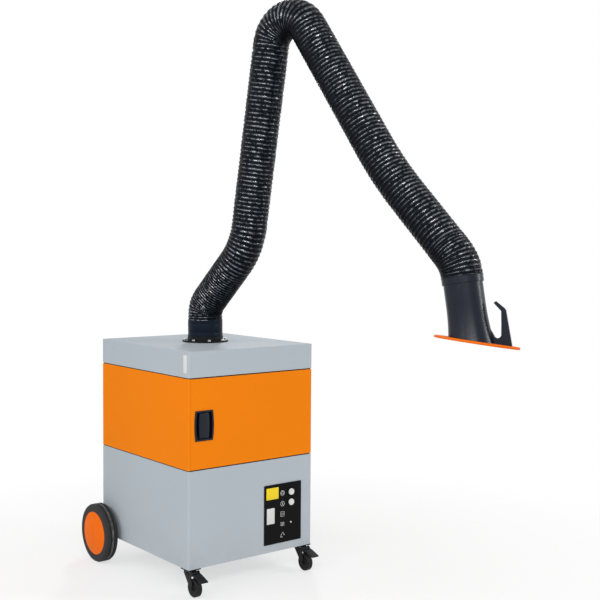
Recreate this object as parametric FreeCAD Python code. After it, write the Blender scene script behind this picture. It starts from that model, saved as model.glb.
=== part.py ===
"""Mobile welding fume extractor: a three-section steel cabinet on two large wheels and two
braked casters, with a filter section behind a door, a fan in the base and a hose-covered
extraction arm that ends in a hood.

All lengths are millimetres. +X is right, the front faces -Y and +Z is up. The origin lies on
the floor under the centre of the cabinet, which is also the axis that the arm swivels on.
"""
import math
import os

import FreeCAD
import Part
from FreeCAD import Placement, Rotation, Vector

# Cabinet
cabinet_width = 640.0
cabinet_depth = 732.0
ground_clearance = 113.0
base_height = 403.0
seam_height = 4.0
filter_section_height = 372.5
lid_height = 107.0
sheet = 2.0
edge_radius = 8.0
lid_edge_radius = 4.0
flange_width = 25.0
seal_width = 14.0
seal_setback = 3.0

# Door of the filter section
door_depth = 25.0
door_gap = 1.0
door_strip = 7.0
door_lip = 16.0
gasket_space = 3.0
access_margin_side = 45.0
access_margin_end = 28.0
hinge_height = 38.0
hinge_inset = 41.0
knuckle_radius = 5.0
hinge_pin_radius = 2.5
hinge_leaf = 2.5
hinge_leaf_reach = 22.0
hinge_side_gap = 0.5

# Latch in the door
latch_width = 84.0
latch_height = 124.0
latch_bow = 4.5
latch_from_strip = 66.0
latch_above_middle = -7.5
latch_bezel = 3.0
latch_bezel_width = 5.0
latch_tub_depth = 17.0
latch_tub_wall = 2.0
handle_bar_width = 44.0
handle_bar_height = 102.0
handle_bar_thickness = 8.0
handle_bar_bow = 2.5
paddle_pin_radius = 2.5
paddle_barrel_radius = 5.0

# Controls on the base
panel_width = 200.0
panel_height = 258.0
panel_right_margin = 60.0
panel_above_base = 35.0
panel_thickness = 3.0
panel_corner_radius = 3.0
panel_overlap = 12.0
box_depth = 90.0
box_flange = 8.0
button_radius = 14.0
button_proud = 5.0
button_travel = 3.0
button_collar = 2.0
button_collar_width = 2.5
button_pitch = 45.0
button_from_right = 57.0
button_from_top = 41.5
button_bezel_width = 3.5
button_bezel_height = 2.5
lamp_radius = 4.0
lamp_proud = 3.0
lamp_body_length = 12.0
lamp_below_button = 89.0

# Rear of the base
grille_width = 360.0
grille_height = 170.0
grille_above_base = 77.0
grille_thickness = 3.0
grille_border = 20.0
grille_slots = 9
grille_web = 7.0
gland_radius = 12.0
gland_nut_radius = 16.0
gland_nut_height = 8.0
gland_dome_height = 18.0
gland_bore_radius = 5.5
gland_inset = 90.0
gland_above_base = 67.0

# Rear wheels
wheel_radius = 130.0
wheel_width = 54.0
wheel_gap = 19.0
wheel_from_rear = 56.0
tyre_inner_radius = 96.0
tyre_shoulder = 9.0
tread_groove_width = 4.0
tread_groove_depth = 4.0
tread_grooves = 3
rim_thickness = 5.0
web_thickness = 8.0
hub_radius = 24.0
cap_thickness = 3.0
cap_dome = 9.0
axle_radius = 7.5
axle_block_width = 30.0
axle_block_length = 50.0
axle_block_cover = 12.0

# Front casters
caster_plate_side = 60.0
caster_plate_thickness = 5.0
caster_plate_inset = 1.0
caster_head_radius = 24.0
caster_head_height = 16.0
caster_wheel_radius = 37.5
caster_wheel_width = 26.0
caster_tread_crown = 3.0
caster_trail = 32.0
caster_leg = 4.0
caster_axle_radius = 4.0
caster_axle_head_radius = 7.0
caster_axle_head = 3.0
caster_leg_boss_radius = 12.0
kingpin_radius = 6.0
pedal_reach = 70.0
pedal_drop = 20.0
pedal_width = 36.0
pedal_thickness = 5.0
pedal_pivot_radius = 4.0
pedal_pivot_forward = 31.5
pedal_ear_radius = 10.0

# Filter and fan
rail_height = 22.0
rail_leg = 34.0
rail_thickness = 3.0
rail_above_deck = 30.0
cassette_side_gap = 4.0
cassette_wall = 4.0
cassette_height = 240.0
cassette_front_gap = 20.0
cassette_rear_gap = 25.0
pleats = 24
pleat_thickness = 2.0
pleat_end_gap = 6.0
mat_thickness = 12.0
trap_overlap = 6.0
trap_slots = 8
trap_slot_width = 26.0
deck_thickness = 3.0
fan_eye_radius = 92.0
cone_sheet = 2.0
cone_flange_width = 22.0
cone_depth = 26.0
scroll_radius = 160.0
scroll_growth = 18.0
scroll_height = 112.0
scroll_wall = 3.0
impeller_radius = 140.0
impeller_height = 66.0
impeller_plate = 3.0
impeller_floor_gap = 12.0
impeller_blades = 8
blade_thickness = 3.0
blade_sweep_deg = 55.0
impeller_hub_radius = 26.0
shaft_radius = 12.0
motor_radius = 82.0
motor_height = 150.0
motor_flange_radius = 105.0
motor_flange = 8.0
motor_fins = 18
motor_fin_height = 7.0
motor_fin_thickness = 4.0
motor_end_cover = 12.0

# Arm flange and swivel
flange_radius = 102.0
flange_thickness = 8.0
flange_bolts = 8
flange_bolt_circle = 92.0
bolt_radius = 4.0
bolt_head_radius = 7.5
bolt_head_height = 5.5
swivel_foot_radius = 79.0
swivel_foot_height = 18.0
swivel_neck_height = 34.0
swivel_wall = 4.0
spider_height = 12.0
spider_width = 22.0

# Arm: the route of the hose lies in one upright plane, turned about the swivel axis
arm_azimuth_deg = -80.0
riser_length = 159.0
base_run_length = 367.0
lower_run_length = 1133.0
upper_run_length = 1004.7
tail_run_length = 470.0
neck_run_length = 51.0
base_lean_deg = 44.5
lower_lean_deg = 9.25
upper_lean_deg = 145.5
tail_lean_deg = 136.35
neck_lean_deg = 170.0
riser_bend_radius = 90.0
shoulder_bend_radius = 300.0
elbow_bend_radius = 112.0
sag_bend_radius = 1500.0
wrist_bend_radius = 160.0

# Hose
hose_crest_radius = 77.5
hose_root_radius = 73.2
hose_bore_radius = 71.8
rib_pitch = 17.6
rib_pitch_gathered = 12.0
cuff_length = 72.0
shoulder_slack = 30.0
wrist_slack = 45.0

# Skeleton inside the hose
link_radius = 15.0
link_wall = 3.0
link_plug = 8.0
ear_radius = 21.0
ear_thickness = 6.0
tongue_thickness = 10.0
pivot_pin_radius = 6.0
pivot_head_radius = 9.0
pivot_head = 3.0
foot_radius = 32.0
foot_thickness = 6.0

# Hood
neck_radius = 71.0
hood_wall = 3.0
neck_bead = 1.5
neck_bead_height = 6.0
clamp_wall = 2.8
clamp_height = 22.0
clamp_lip_height = 6.0
clamp_lug_width = 24.0
clamp_lug_height = 14.0
clamp_lug_reach = 7.0
yoke_ring_height = 12.0
yoke_flange = 3.0
hood_turn_rest_deg = 26.0
hood_axis_length = 245.5
hood_straight_length = 105.0
hood_mouth_radius = 83.0
rim_half_length = 154.5
rim_half_width = 112.0
rim_offset = 19.0
rim_tilt_deg = 16.1
rim_thickness_hood = 9.0
rim_recess = 3.0
grip_reach = 143.0
grip_width = 26.0
guard_depth = 60.0
guard_thickness = 3.0
guard_bar = 4.0
guard_bars = 5

# Clearances
overrun = 20.0
run_fit = 0.05
slide_fit = 0.3
swing_gap = 1.5

# Outline of the hook handle: shares of its reach from the neck axis and of the hood's length
# on that axis, from the tip down the outer edge and back up round the finger gap
grip_outline_shares = [
    (0.757, 0.425), (0.945, 0.545), (0.970, 0.578), (1.000, 1.130), (0.500, 1.130),
    (0.500, 0.780), (0.575, 0.885), (0.615, 0.945), (0.670, 0.965), (0.735, 0.955),
    (0.770, 0.930), (0.810, 0.770), (0.850, 0.579), (0.694, 0.449),
]
upright_share = 0.5
rib_station_shares = (0.0, 0.30, 0.58, 0.86)
rim_edge_share = 0.35
cone_throat_share = 0.9
ear_neck_share = 0.8
blade_bend_share = 0.4

# Places that follow from the sizes
half_width = cabinet_width / 2
half_depth = cabinet_depth / 2
base_bottom = ground_clearance
base_top = base_bottom + base_height
housing_bottom = base_top + seam_height
housing_top = housing_bottom + filter_section_height
lid_bottom = housing_top + seam_height
lid_top = lid_bottom + lid_height
door_front = -half_depth
door_back = door_front + door_depth
frame_front = door_back + gasket_space
frame_back = frame_front + sheet
door_left = -half_width + door_strip + door_gap
access_half_width = half_width - access_margin_side
access_bottom = housing_bottom + access_margin_end
access_top = housing_top - access_margin_end
hinge_x = half_width + hinge_side_gap + knuckle_radius
hinge_y = door_back + gasket_space / 2
latch_x = door_left + latch_from_strip
latch_z = (housing_bottom + housing_top) / 2 + latch_above_middle
panel_right = half_width - panel_right_margin
panel_left = panel_right - panel_width
panel_bottom = base_bottom + panel_above_base
panel_top = panel_bottom + panel_height
button_x = panel_right - button_from_right
start_z = panel_top - button_from_top
stop_z = start_z - button_pitch
lamp_z = stop_z - lamp_below_button
wheel_inner = half_width + wheel_gap
wheel_outer = wheel_inner + wheel_width
wheel_y = half_depth - wheel_from_rear
kingpin_x = half_width - caster_plate_inset - caster_plate_side / 2
kingpin_y = -half_depth + caster_plate_inset + caster_plate_side / 2
caster_plate_bottom = base_bottom - caster_plate_thickness
caster_head_bottom = caster_plate_bottom - caster_head_height
caster_axle_y = kingpin_y - caster_trail
pedal_pivot_y = kingpin_y - pedal_pivot_forward
pedal_pivot_z = caster_head_bottom + pedal_pivot_radius
deck_bottom = housing_bottom + sheet
deck_top = deck_bottom + deck_thickness
scroll_bottom = deck_bottom - scroll_height
rail_z = deck_top + rail_above_deck
cassette_bottom = rail_z + rail_height
cassette_half_width = access_half_width - cassette_side_gap
cassette_front = frame_back + cassette_front_gap
cassette_rear = half_depth - sheet - cassette_rear_gap
flange_top = lid_top + flange_thickness
swivel_neck_radius = hose_bore_radius - slide_fit
swivel_bore_radius = swivel_neck_radius - swivel_wall
spigot_radius = swivel_bore_radius - slide_fit
duct_radius = spigot_radius - swivel_wall
swivel_top = flange_top + swivel_foot_height + swivel_neck_height
swivel_axis = Vector(0, 0, 1)
across = Vector(0, 1, 0)


def box(x_low, x_high, y_low, y_high, z_low, z_high):
    corner = Vector(x_low, y_low, z_low)
    return Part.makeBox(x_high - x_low, y_high - y_low, z_high - z_low, corner)


def upright_edges(solid):
    return [e for e in solid.Edges if abs(e.tangentAt(e.FirstParameter).z) > upright_share]


def rounded_box(x_low, x_high, y_low, y_high, z_low, z_high, radius):
    solid = box(x_low, x_high, y_low, y_high, z_low, z_high)
    return solid.makeFillet(radius, upright_edges(solid))


def cylinder(radius, start, end):
    direction = end - start
    return Part.makeCylinder(radius, direction.Length, start, direction)


def pillar(radius, z_low, z_high, x=0, y=0):
    return cylinder(radius, Vector(x, y, z_low), Vector(x, y, z_high))


def ring(outer, inner, z_low, z_high):
    return pillar(outer, z_low, z_high).cut(pillar(inner, z_low - overrun, z_high + overrun))


def revolved(points, axis_point, axis):
    """Solid of revolution of a closed outline."""
    return Part.Face(Part.makePolygon(points + points[:1])).revolve(axis_point, axis, 360)


def mirrored(shape):
    """The same piece on the other side of the cabinet."""
    return shape.mirror(Vector(0, 0, 0), Vector(1, 0, 0))


def fused(shapes):
    return shapes[0].multiFuse(shapes[1:]).removeSplitter()


def bowed_slab(half_w, half_h, bow, y_low, y_high):
    """Upright slab round the latch axis, with flat ends and sides that swell by the bow."""
    left, right = latch_x - half_w, latch_x + half_w
    low, high = latch_z - half_h, latch_z + half_h
    corners = [Vector(left, y_low, low), Vector(right, y_low, low),
               Vector(right, y_low, high), Vector(left, y_low, high)]
    outline = Part.Wire([
        Part.makeLine(corners[0], corners[1]),
        Part.Arc(corners[1], Vector(right + bow, y_low, latch_z), corners[2]).toShape(),
        Part.makeLine(corners[2], corners[3]),
        Part.Arc(corners[3], Vector(left - bow, y_low, latch_z), corners[0]).toShape(),
    ])
    return Part.Face(outline).extrude(Vector(0, y_high - y_low, 0))


# Cabinet sections

def section_shell(y_low, y_high, z_low, z_high, floor, roof):
    """Sheet-metal section with a plate or an inward flange at the bottom and at the top."""
    shell = rounded_box(-half_width, half_width, y_low, y_high, z_low, z_high, edge_radius)
    inner = rounded_box(-half_width + sheet, half_width - sheet, y_low + sheet, y_high - sheet,
                        z_low + sheet, z_high - sheet, edge_radius - sheet)
    shell = shell.cut(inner)
    hole_low = z_low + sheet if floor else z_low - overrun
    hole_high = z_high - sheet if roof else z_high + overrun
    hole = box(-half_width + flange_width, half_width - flange_width,
               y_low + flange_width, y_high - flange_width, hole_low, hole_high)
    return shell.cut(hole)


def make_base_cabinet():
    shell = section_shell(-half_depth, half_depth, base_bottom, base_top, True, False)
    window = box(panel_left + panel_overlap, panel_right - panel_overlap,
                 -half_depth - overrun, -half_depth + overrun,
                 panel_bottom + panel_overlap, panel_top - panel_overlap)
    grille_bottom = base_bottom + grille_above_base
    outlet = box(-grille_width / 2 + grille_border, grille_width / 2 - grille_border,
                 half_depth - overrun, half_depth + overrun,
                 grille_bottom + grille_border, grille_bottom + grille_height - grille_border)
    axle = cylinder(axle_radius + slide_fit,
                    Vector(-half_width - overrun, wheel_y, wheel_radius),
                    Vector(half_width + overrun, wheel_y, wheel_radius))
    gland = cylinder(gland_radius + slide_fit, gland_point(-overrun), gland_point(overrun))
    return shell.cut(window).cut(outlet).cut(axle).cut(gland)


def make_filter_housing():
    shell = section_shell(frame_front, half_depth, housing_bottom, housing_top, False, False)
    square_front = box(-half_width, half_width, frame_front, frame_front + edge_radius,
                       housing_bottom, housing_top)
    hollow = box(-half_width + sheet, half_width - sheet, frame_back,
                 frame_back + edge_radius, housing_bottom + sheet, housing_top - sheet)
    strip = box(-half_width, -half_width + door_strip, -half_depth, frame_front,
                housing_bottom, housing_top)
    corner = [e for e in upright_edges(strip)
              if e.CenterOfMass.x < -half_width + sheet and e.CenterOfMass.y < frame_front - sheet]
    strip = strip.makeFillet(min(edge_radius, door_strip - sheet), corner)
    access = box(-access_half_width, access_half_width, frame_front - overrun,
                 frame_back + edge_radius, access_bottom, access_top)
    throat = box(-half_width + flange_width, half_width - flange_width,
                 frame_front + flange_width, half_depth - flange_width,
                 housing_bottom - overrun, housing_top + overrun)
    return fused([shell, square_front, strip]).cut(hollow).cut(access).cut(throat)


def make_top_cover():
    shell = section_shell(-half_depth, half_depth, lid_bottom, lid_top, False, True)
    upper = [e for e in shell.Edges
             if e.BoundBox.ZMin > lid_top - sheet / 2 and e.BoundBox.ZLength < sheet / 2]
    shell = shell.makeFillet(min(lid_edge_radius, sheet * cone_throat_share), upper)
    inlet = pillar(duct_radius, lid_top - overrun, lid_top + overrun)
    return shell.cut(inlet).cut(bolt_set(bolt_radius + slide_fit, -overrun, overrun))


def seal_frame(z_low):
    """Dark strip that shows as a thin line between two sections."""
    outer = rounded_box(-half_width + seal_setback, half_width - seal_setback,
                        -half_depth + seal_setback, half_depth - seal_setback,
                        z_low, z_low + seam_height, edge_radius)
    inset = seal_setback + seal_width
    inner = box(-half_width + inset, half_width - inset, -half_depth + inset, half_depth - inset,
                z_low - overrun, z_low + seam_height + overrun)
    return outer.cut(inner)


def make_section_seals():
    return Part.makeCompound([seal_frame(base_top), seal_frame(housing_top)])


# Door and latch

def make_door_panel():
    low = housing_bottom + door_gap
    high = housing_top - door_gap
    pan = box(door_left, half_width, door_front, door_back, low, high)
    corner = [e for e in upright_edges(pan)
              if e.CenterOfMass.x > 0 and e.CenterOfMass.y < door_back - sheet]
    pan = pan.makeFillet(edge_radius, corner)
    hollow = box(door_left + sheet, half_width - sheet, door_front + sheet, door_back - sheet,
                 low + sheet, high - sheet)
    open_back = box(door_left + door_lip, half_width - door_lip, door_front + sheet,
                    door_back + overrun, low + door_lip, high - door_lip)
    inner_corner = [e for e in upright_edges(hollow)
                    if e.CenterOfMass.x > 0 and e.CenterOfMass.y < door_back - door_depth / 2]
    hollow = hollow.makeFillet(edge_radius - sheet, inner_corner)
    tub = latch_half_width() - latch_bezel_width + slide_fit
    hole = bowed_slab(tub, latch_height / 2 - latch_bezel_width + slide_fit, latch_bow,
                      door_front - overrun, door_front + overrun)
    return pan.cut(hollow).cut(open_back).cut(hole)


def make_door_gasket():
    outer = box(-access_half_width - door_lip, access_half_width + door_lip,
                door_back + slide_fit, frame_front,
                access_bottom - door_lip, access_top + door_lip)
    inner = box(-access_half_width, access_half_width, door_back - overrun,
                frame_front + overrun, access_bottom, access_top)
    return outer.cut(inner)


def hinge_centres():
    return (housing_bottom + hinge_inset, housing_top - hinge_inset)


def hinge_half(z_low, z_high, y_low, y_high):
    """One leaf with its knuckle."""
    leaf = box(half_width, half_width + hinge_leaf, y_low, y_high, z_low, z_high)
    return fused([leaf, pillar(knuckle_radius, z_low, z_high, hinge_x, hinge_y)])


def make_hinge_leaves():
    halves = []
    for centre in hinge_centres():
        low = centre - hinge_height / 2
        leaf = hinge_half(low, centre, hinge_y, hinge_y + hinge_leaf_reach)
        pin = pillar(hinge_pin_radius, low, centre + hinge_height / 2, hinge_x, hinge_y)
        halves.append(fused([leaf, pin]))
    return Part.makeCompound(halves)


def make_door_knuckles():
    halves = []
    for centre in hinge_centres():
        low = centre + slide_fit
        high = centre + hinge_height / 2
        leaf = hinge_half(low, high, door_back - hinge_leaf_reach + edge_radius, hinge_y)
        bore = pillar(hinge_pin_radius + run_fit, low - overrun, high + overrun, hinge_x, hinge_y)
        halves.append(leaf.cut(bore))
    return Part.makeCompound(halves)


def latch_half_width():
    return latch_width / 2


def make_latch_dish():
    inset = latch_bezel_width
    bezel = bowed_slab(latch_half_width(), latch_height / 2, latch_bow,
                       door_front - latch_bezel, door_front)
    tub = bowed_slab(latch_half_width() - inset, latch_height / 2 - inset, latch_bow,
                     door_front - latch_bezel, door_front + latch_tub_depth)
    inset += latch_tub_wall
    hollow = bowed_slab(latch_half_width() - inset, latch_height / 2 - inset, latch_bow,
                        door_front - latch_bezel - overrun,
                        door_front + latch_tub_depth - latch_tub_wall)
    reach = latch_height / 2
    bore = pillar(paddle_pin_radius + run_fit, latch_z - reach, latch_z + reach, paddle_x(), paddle_y())
    bezel_keep = bowed_slab(latch_half_width(), latch_height / 2, latch_bow, door_front - latch_bezel,
                            door_front)
    return fused([bezel, tub.cut(bore.cut(bezel_keep))]).cut(hollow)


def paddle_x():
    """The paddle hinges along its right edge."""
    return latch_x + handle_bar_width / 2 - paddle_barrel_radius


def paddle_y():
    return door_front + paddle_barrel_radius


def make_latch_paddle():
    """Pull paddle in the dish, on an upright pin held by the dish's end walls."""
    front = door_front - latch_bezel / 2
    bar = bowed_slab(handle_bar_width / 2, handle_bar_height / 2, handle_bar_bow, front,
                     front + handle_bar_thickness)
    half = handle_bar_height / 2
    barrel = pillar(paddle_barrel_radius, latch_z - half, latch_z + half, paddle_x(), paddle_y())
    pin_half = latch_height / 2 - latch_bezel_width - slide_fit
    pin = pillar(paddle_pin_radius, latch_z - pin_half, latch_z + pin_half, paddle_x(), paddle_y())
    return fused([bar, barrel, pin])


# Controls

def make_control_panel():
    plate = box(panel_left, panel_right, -half_depth - panel_thickness, -half_depth,
                panel_bottom, panel_top)
    plate = plate.makeFillet(panel_corner_radius,
                             [e for e in plate.Edges
                              if abs(e.tangentAt(e.FirstParameter).y) > upright_share])
    face = -half_depth - panel_thickness
    for z in (start_z, stop_z):
        bezel = cylinder(button_radius + button_bezel_width,
                         Vector(button_x, face - button_bezel_height, z), Vector(button_x, face, z))
        bore = cylinder(button_radius + slide_fit, Vector(button_x, face - overrun, z),
                        Vector(button_x, -half_depth + overrun, z))
        plate = plate.fuse(bezel).cut(bore)
    lamp = cylinder(lamp_radius, Vector(button_x, face - overrun, lamp_z),
                    Vector(button_x, -half_depth + overrun, lamp_z))
    return plate.cut(lamp).removeSplitter()


def make_button(z):
    """Cap through the panel, held behind it by a collar, on a plunger in the box."""
    front = -half_depth - panel_thickness - button_bezel_height - button_proud
    collar_y = -half_depth + slide_fit
    cap = cylinder(button_radius, Vector(button_x, front, z), Vector(button_x, collar_y, z))
    rim = [e for e in cap.Edges if e.BoundBox.YMax < front + button_proud / 2]
    cap = cap.makeFillet(button_proud / 3, rim[:1])
    collar = cylinder(button_radius + button_collar_width, Vector(button_x, collar_y, z),
                      Vector(button_x, collar_y + button_collar, z))
    return fused([cap, collar])


def make_control_box():
    left, right = panel_left + panel_overlap, panel_right - panel_overlap
    low, high = panel_bottom + panel_overlap, panel_top - panel_overlap
    front = -half_depth + sheet
    flange = box(left - box_flange, right + box_flange, front, front + sheet,
                 low - box_flange, high + box_flange)
    tray = box(left, right, front, front + box_depth, low, high)
    hollow = box(left + sheet, right - sheet, front - overrun, front + box_depth - sheet,
                 low + sheet, high - sheet)
    return fused([flange, tray]).cut(hollow)


def make_status_lamp():
    face = -half_depth - panel_thickness
    body = cylinder(lamp_radius, Vector(button_x, face - lamp_proud, lamp_z),
                    Vector(button_x, face + lamp_body_length, lamp_z))
    rim = [e for e in body.Edges if e.BoundBox.YMax < face]
    return body.makeFillet(lamp_proud / 2, rim[:1])


# Rear of the base

def gland_point(out):
    return Vector(-half_width + gland_inset, half_depth + out, base_bottom + gland_above_base)


def make_cable_gland():
    body = cylinder(gland_radius, gland_point(-overrun), gland_point(gland_nut_height))
    nut = Part.makePolygon([gland_point(0) + Vector(gland_nut_radius * math.cos(a), 0,
                                                    gland_nut_radius * math.sin(a))
                            for a in [math.pi / 3 * k for k in range(7)]])
    nut = Part.Face(nut).extrude(Vector(0, gland_nut_height, 0))
    dome_start = gland_point(gland_nut_height)
    dome = Part.makeCone(gland_radius, gland_bore_radius + sheet, gland_dome_height, dome_start,
                         Vector(0, 1, 0))
    lock = cylinder(gland_nut_radius, gland_point(-sheet - gland_nut_height), gland_point(-sheet))
    bore = cylinder(gland_bore_radius, gland_point(-overrun * 2), gland_point(overrun * 2))
    return fused([body, nut, dome, lock]).cut(bore)


def make_outlet_grille():
    low = base_bottom + grille_above_base
    plate = box(-grille_width / 2, grille_width / 2, half_depth, half_depth + grille_thickness,
                low, low + grille_height)
    inner_low = low + grille_border
    pitch = (grille_height - 2 * grille_border + grille_web) / grille_slots
    slots = []
    for index in range(grille_slots):
        slot_low = inner_low + index * pitch
        slots.append(box(-grille_width / 2 + grille_border, grille_width / 2 - grille_border,
                         half_depth - overrun, half_depth + overrun,
                         slot_low, slot_low + pitch - grille_web))
    return plate.cut(Part.makeCompound(slots))


# Rear wheels

def make_rear_axle():
    end = wheel_outer - cap_thickness - swing_gap
    return cylinder(axle_radius, Vector(-end, wheel_y, wheel_radius),
                    Vector(end, wheel_y, wheel_radius))


def make_axle_blocks():
    inner = half_width - sheet
    block = box(inner - axle_block_width, inner, wheel_y - axle_block_length / 2,
                wheel_y + axle_block_length / 2, base_bottom + sheet,
                wheel_radius + axle_radius + axle_block_cover)
    sleeve = cylinder(axle_radius + axle_block_cover / 2,
                      Vector(half_width, wheel_y, wheel_radius),
                      Vector(wheel_inner - swing_gap, wheel_y, wheel_radius))
    bore = cylinder(axle_radius + run_fit,
                    Vector(0, wheel_y, wheel_radius),
                    Vector(wheel_outer, wheel_y, wheel_radius))
    pieces = [block.cut(bore), sleeve.cut(bore)]
    return Part.makeCompound(pieces + [mirrored(p) for p in pieces])


def wheel_point(x, radius):
    return Vector(x, wheel_y, wheel_radius + radius)


wheel_axis = Vector(1, 0, 0)
wheel_centre = Vector(0, wheel_y, wheel_radius)


def make_tyre():
    """Solid rubber tyre with round shoulders and grooves round the tread."""
    crown = wheel_radius - tyre_shoulder
    points = [(wheel_inner, tyre_inner_radius), (wheel_inner, crown),
              (wheel_inner + tyre_shoulder / 3, wheel_radius - tyre_shoulder / 3),
              (wheel_inner + tyre_shoulder, wheel_radius)]
    pitch = (wheel_width - 2 * tyre_shoulder) / (tread_grooves + 1)
    for index in range(tread_grooves):
        start = wheel_inner + tyre_shoulder + (index + 1) * pitch - tread_groove_width / 2
        floor = wheel_radius - tread_groove_depth
        points += [(start, wheel_radius), (start, floor), (start + tread_groove_width, floor),
                   (start + tread_groove_width, wheel_radius)]
    points += [(wheel_outer - tyre_shoulder, wheel_radius),
               (wheel_outer - tyre_shoulder / 3, wheel_radius - tyre_shoulder / 3),
               (wheel_outer, crown), (wheel_outer, tyre_inner_radius)]
    return revolved([wheel_point(*p) for p in points], wheel_centre, wheel_axis)


def make_rim():
    """Rim band, web and hub in one piece."""
    middle = (wheel_inner + wheel_outer) / 2
    band = tyre_inner_radius - rim_thickness
    bore = axle_radius + run_fit
    hub_end = wheel_outer - cap_thickness - swing_gap * 2
    outer_end = wheel_outer - cap_thickness
    points = [(wheel_inner, bore), (wheel_inner, hub_radius),
              (middle - web_thickness / 2, hub_radius), (middle - web_thickness / 2, band),
              (wheel_inner, band), (wheel_inner, tyre_inner_radius),
              (outer_end, tyre_inner_radius), (outer_end, band),
              (middle + web_thickness / 2, band), (middle + web_thickness / 2, hub_radius),
              (hub_end, hub_radius), (hub_end, bore)]
    return revolved([wheel_point(*p) for p in points], wheel_centre, wheel_axis)


def make_cap():
    """Cover of the wheel: a thin round dish that seats on the rim band and bulges outward."""
    seat = wheel_outer - cap_thickness
    edge = tyre_inner_radius - slide_fit
    curve = (edge ** 2 + cap_dome ** 2) / (2 * cap_dome)
    half_rise = math.sqrt(curve ** 2 - (edge / 2) ** 2) - curve + cap_dome

    def dome(base):
        ball = Part.Arc(wheel_point(base + cap_dome, 0), wheel_point(base + half_rise, edge / 2),
                        wheel_point(base, edge)).toShape()
        outline = Part.Wire([ball, Part.makeLine(wheel_point(base, edge), wheel_point(half_width, edge)),
                             Part.makeLine(wheel_point(half_width, edge), wheel_point(half_width, 0)),
                             Part.makeLine(wheel_point(half_width, 0), wheel_point(base + cap_dome, 0))])
        return Part.Face(outline).revolve(wheel_centre, wheel_axis, 360)

    skin = cylinder(edge, wheel_point(seat, 0), wheel_point(seat + cap_dome * 2, 0))
    return dome(seat + cap_thickness).common(skin).cut(dome(seat))


# Front casters, made for the right side

def make_caster_plate():
    half = caster_plate_side / 2
    plate = box(kingpin_x - half, kingpin_x + half, kingpin_y - half, kingpin_y + half,
                caster_plate_bottom, base_bottom)
    kingpin = pillar(kingpin_radius, caster_head_bottom, caster_plate_bottom, kingpin_x, kingpin_y)
    return fused([plate, kingpin])


def make_caster_plates():
    plate = make_caster_plate()
    return Part.makeCompound([plate, mirrored(plate)])


def make_caster_fork():
    """Swivel head with two legs that trail forward to the axle."""
    half_gap = caster_wheel_width / 2 + swing_gap
    head = pillar(caster_head_radius, caster_head_bottom, caster_plate_bottom - slide_fit,
                  kingpin_x, kingpin_y)
    outline = [(kingpin_y + caster_head_radius, caster_head_bottom + caster_head_height / 2),
               (kingpin_y + caster_head_radius, caster_head_bottom),
               (caster_axle_y + caster_leg_boss_radius, caster_wheel_radius),
               (caster_axle_y - caster_leg_boss_radius, caster_wheel_radius),
               (kingpin_y - caster_head_radius, caster_head_bottom),
               (kingpin_y - caster_head_radius, caster_head_bottom + caster_head_height / 2)]
    pieces = [head]
    for x_low in (kingpin_x - half_gap - caster_leg, kingpin_x + half_gap):
        points = [Vector(x_low, y, z) for y, z in outline]
        leg = Part.Face(Part.makePolygon(points + points[:1])).extrude(Vector(caster_leg, 0, 0))
        boss = cylinder(caster_leg_boss_radius, Vector(x_low, caster_axle_y, caster_wheel_radius),
                        Vector(x_low + caster_leg, caster_axle_y, caster_wheel_radius))
        pieces += [leg, boss]
    reach = half_gap + caster_leg
    bridge = box(kingpin_x - reach, kingpin_x + reach, kingpin_y - caster_head_radius,
                 kingpin_y + caster_head_radius, caster_head_bottom,
                 caster_head_bottom + caster_head_height / 2)
    axle = cylinder(caster_axle_radius, Vector(kingpin_x - reach, caster_axle_y, caster_wheel_radius),
                    Vector(kingpin_x + reach, caster_axle_y, caster_wheel_radius))
    for side in (-1, 1):
        start = Vector(kingpin_x + side * reach, caster_axle_y, caster_wheel_radius)
        pieces.append(cylinder(caster_axle_head_radius, start,
                               start + Vector(side * caster_axle_head, 0, 0)))
    bore = pillar(kingpin_radius + run_fit, caster_head_bottom - overrun, base_bottom,
                  kingpin_x, kingpin_y)
    pivot_bore = cylinder(pedal_pivot_radius + run_fit,
                          Vector(kingpin_x - reach - overrun, pedal_pivot_y, pedal_pivot_z),
                          Vector(kingpin_x + reach + overrun, pedal_pivot_y, pedal_pivot_z))
    ears = []
    for x_low in (kingpin_x - reach, kingpin_x + half_gap):
        ears.append(cylinder(pedal_ear_radius, Vector(x_low, pedal_pivot_y, pedal_pivot_z),
                             Vector(x_low + caster_leg, pedal_pivot_y, pedal_pivot_z)))
    return fused(pieces + [bridge, axle] + ears).cut(bore).cut(pivot_bore)


def make_caster_wheel():
    """Wheel with a crowned tread and hollowed sides."""
    half = caster_wheel_width / 2
    rim = caster_wheel_radius - caster_tread_crown * 3
    points = [(-half, caster_axle_radius + run_fit), (-half, caster_leg_boss_radius),
              (-half + caster_tread_crown, caster_leg_boss_radius + caster_tread_crown),
              (-half + caster_tread_crown, rim - caster_tread_crown), (-half, rim),
              (-half, caster_wheel_radius - caster_tread_crown),
              (-half + caster_tread_crown, caster_wheel_radius)]
    points += [(-x, r) for x, r in reversed(points)]
    outline = [Vector(kingpin_x + x, caster_axle_y, caster_wheel_radius + r) for x, r in points]
    return revolved(outline, Vector(kingpin_x, caster_axle_y, caster_wheel_radius), wheel_axis)


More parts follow.
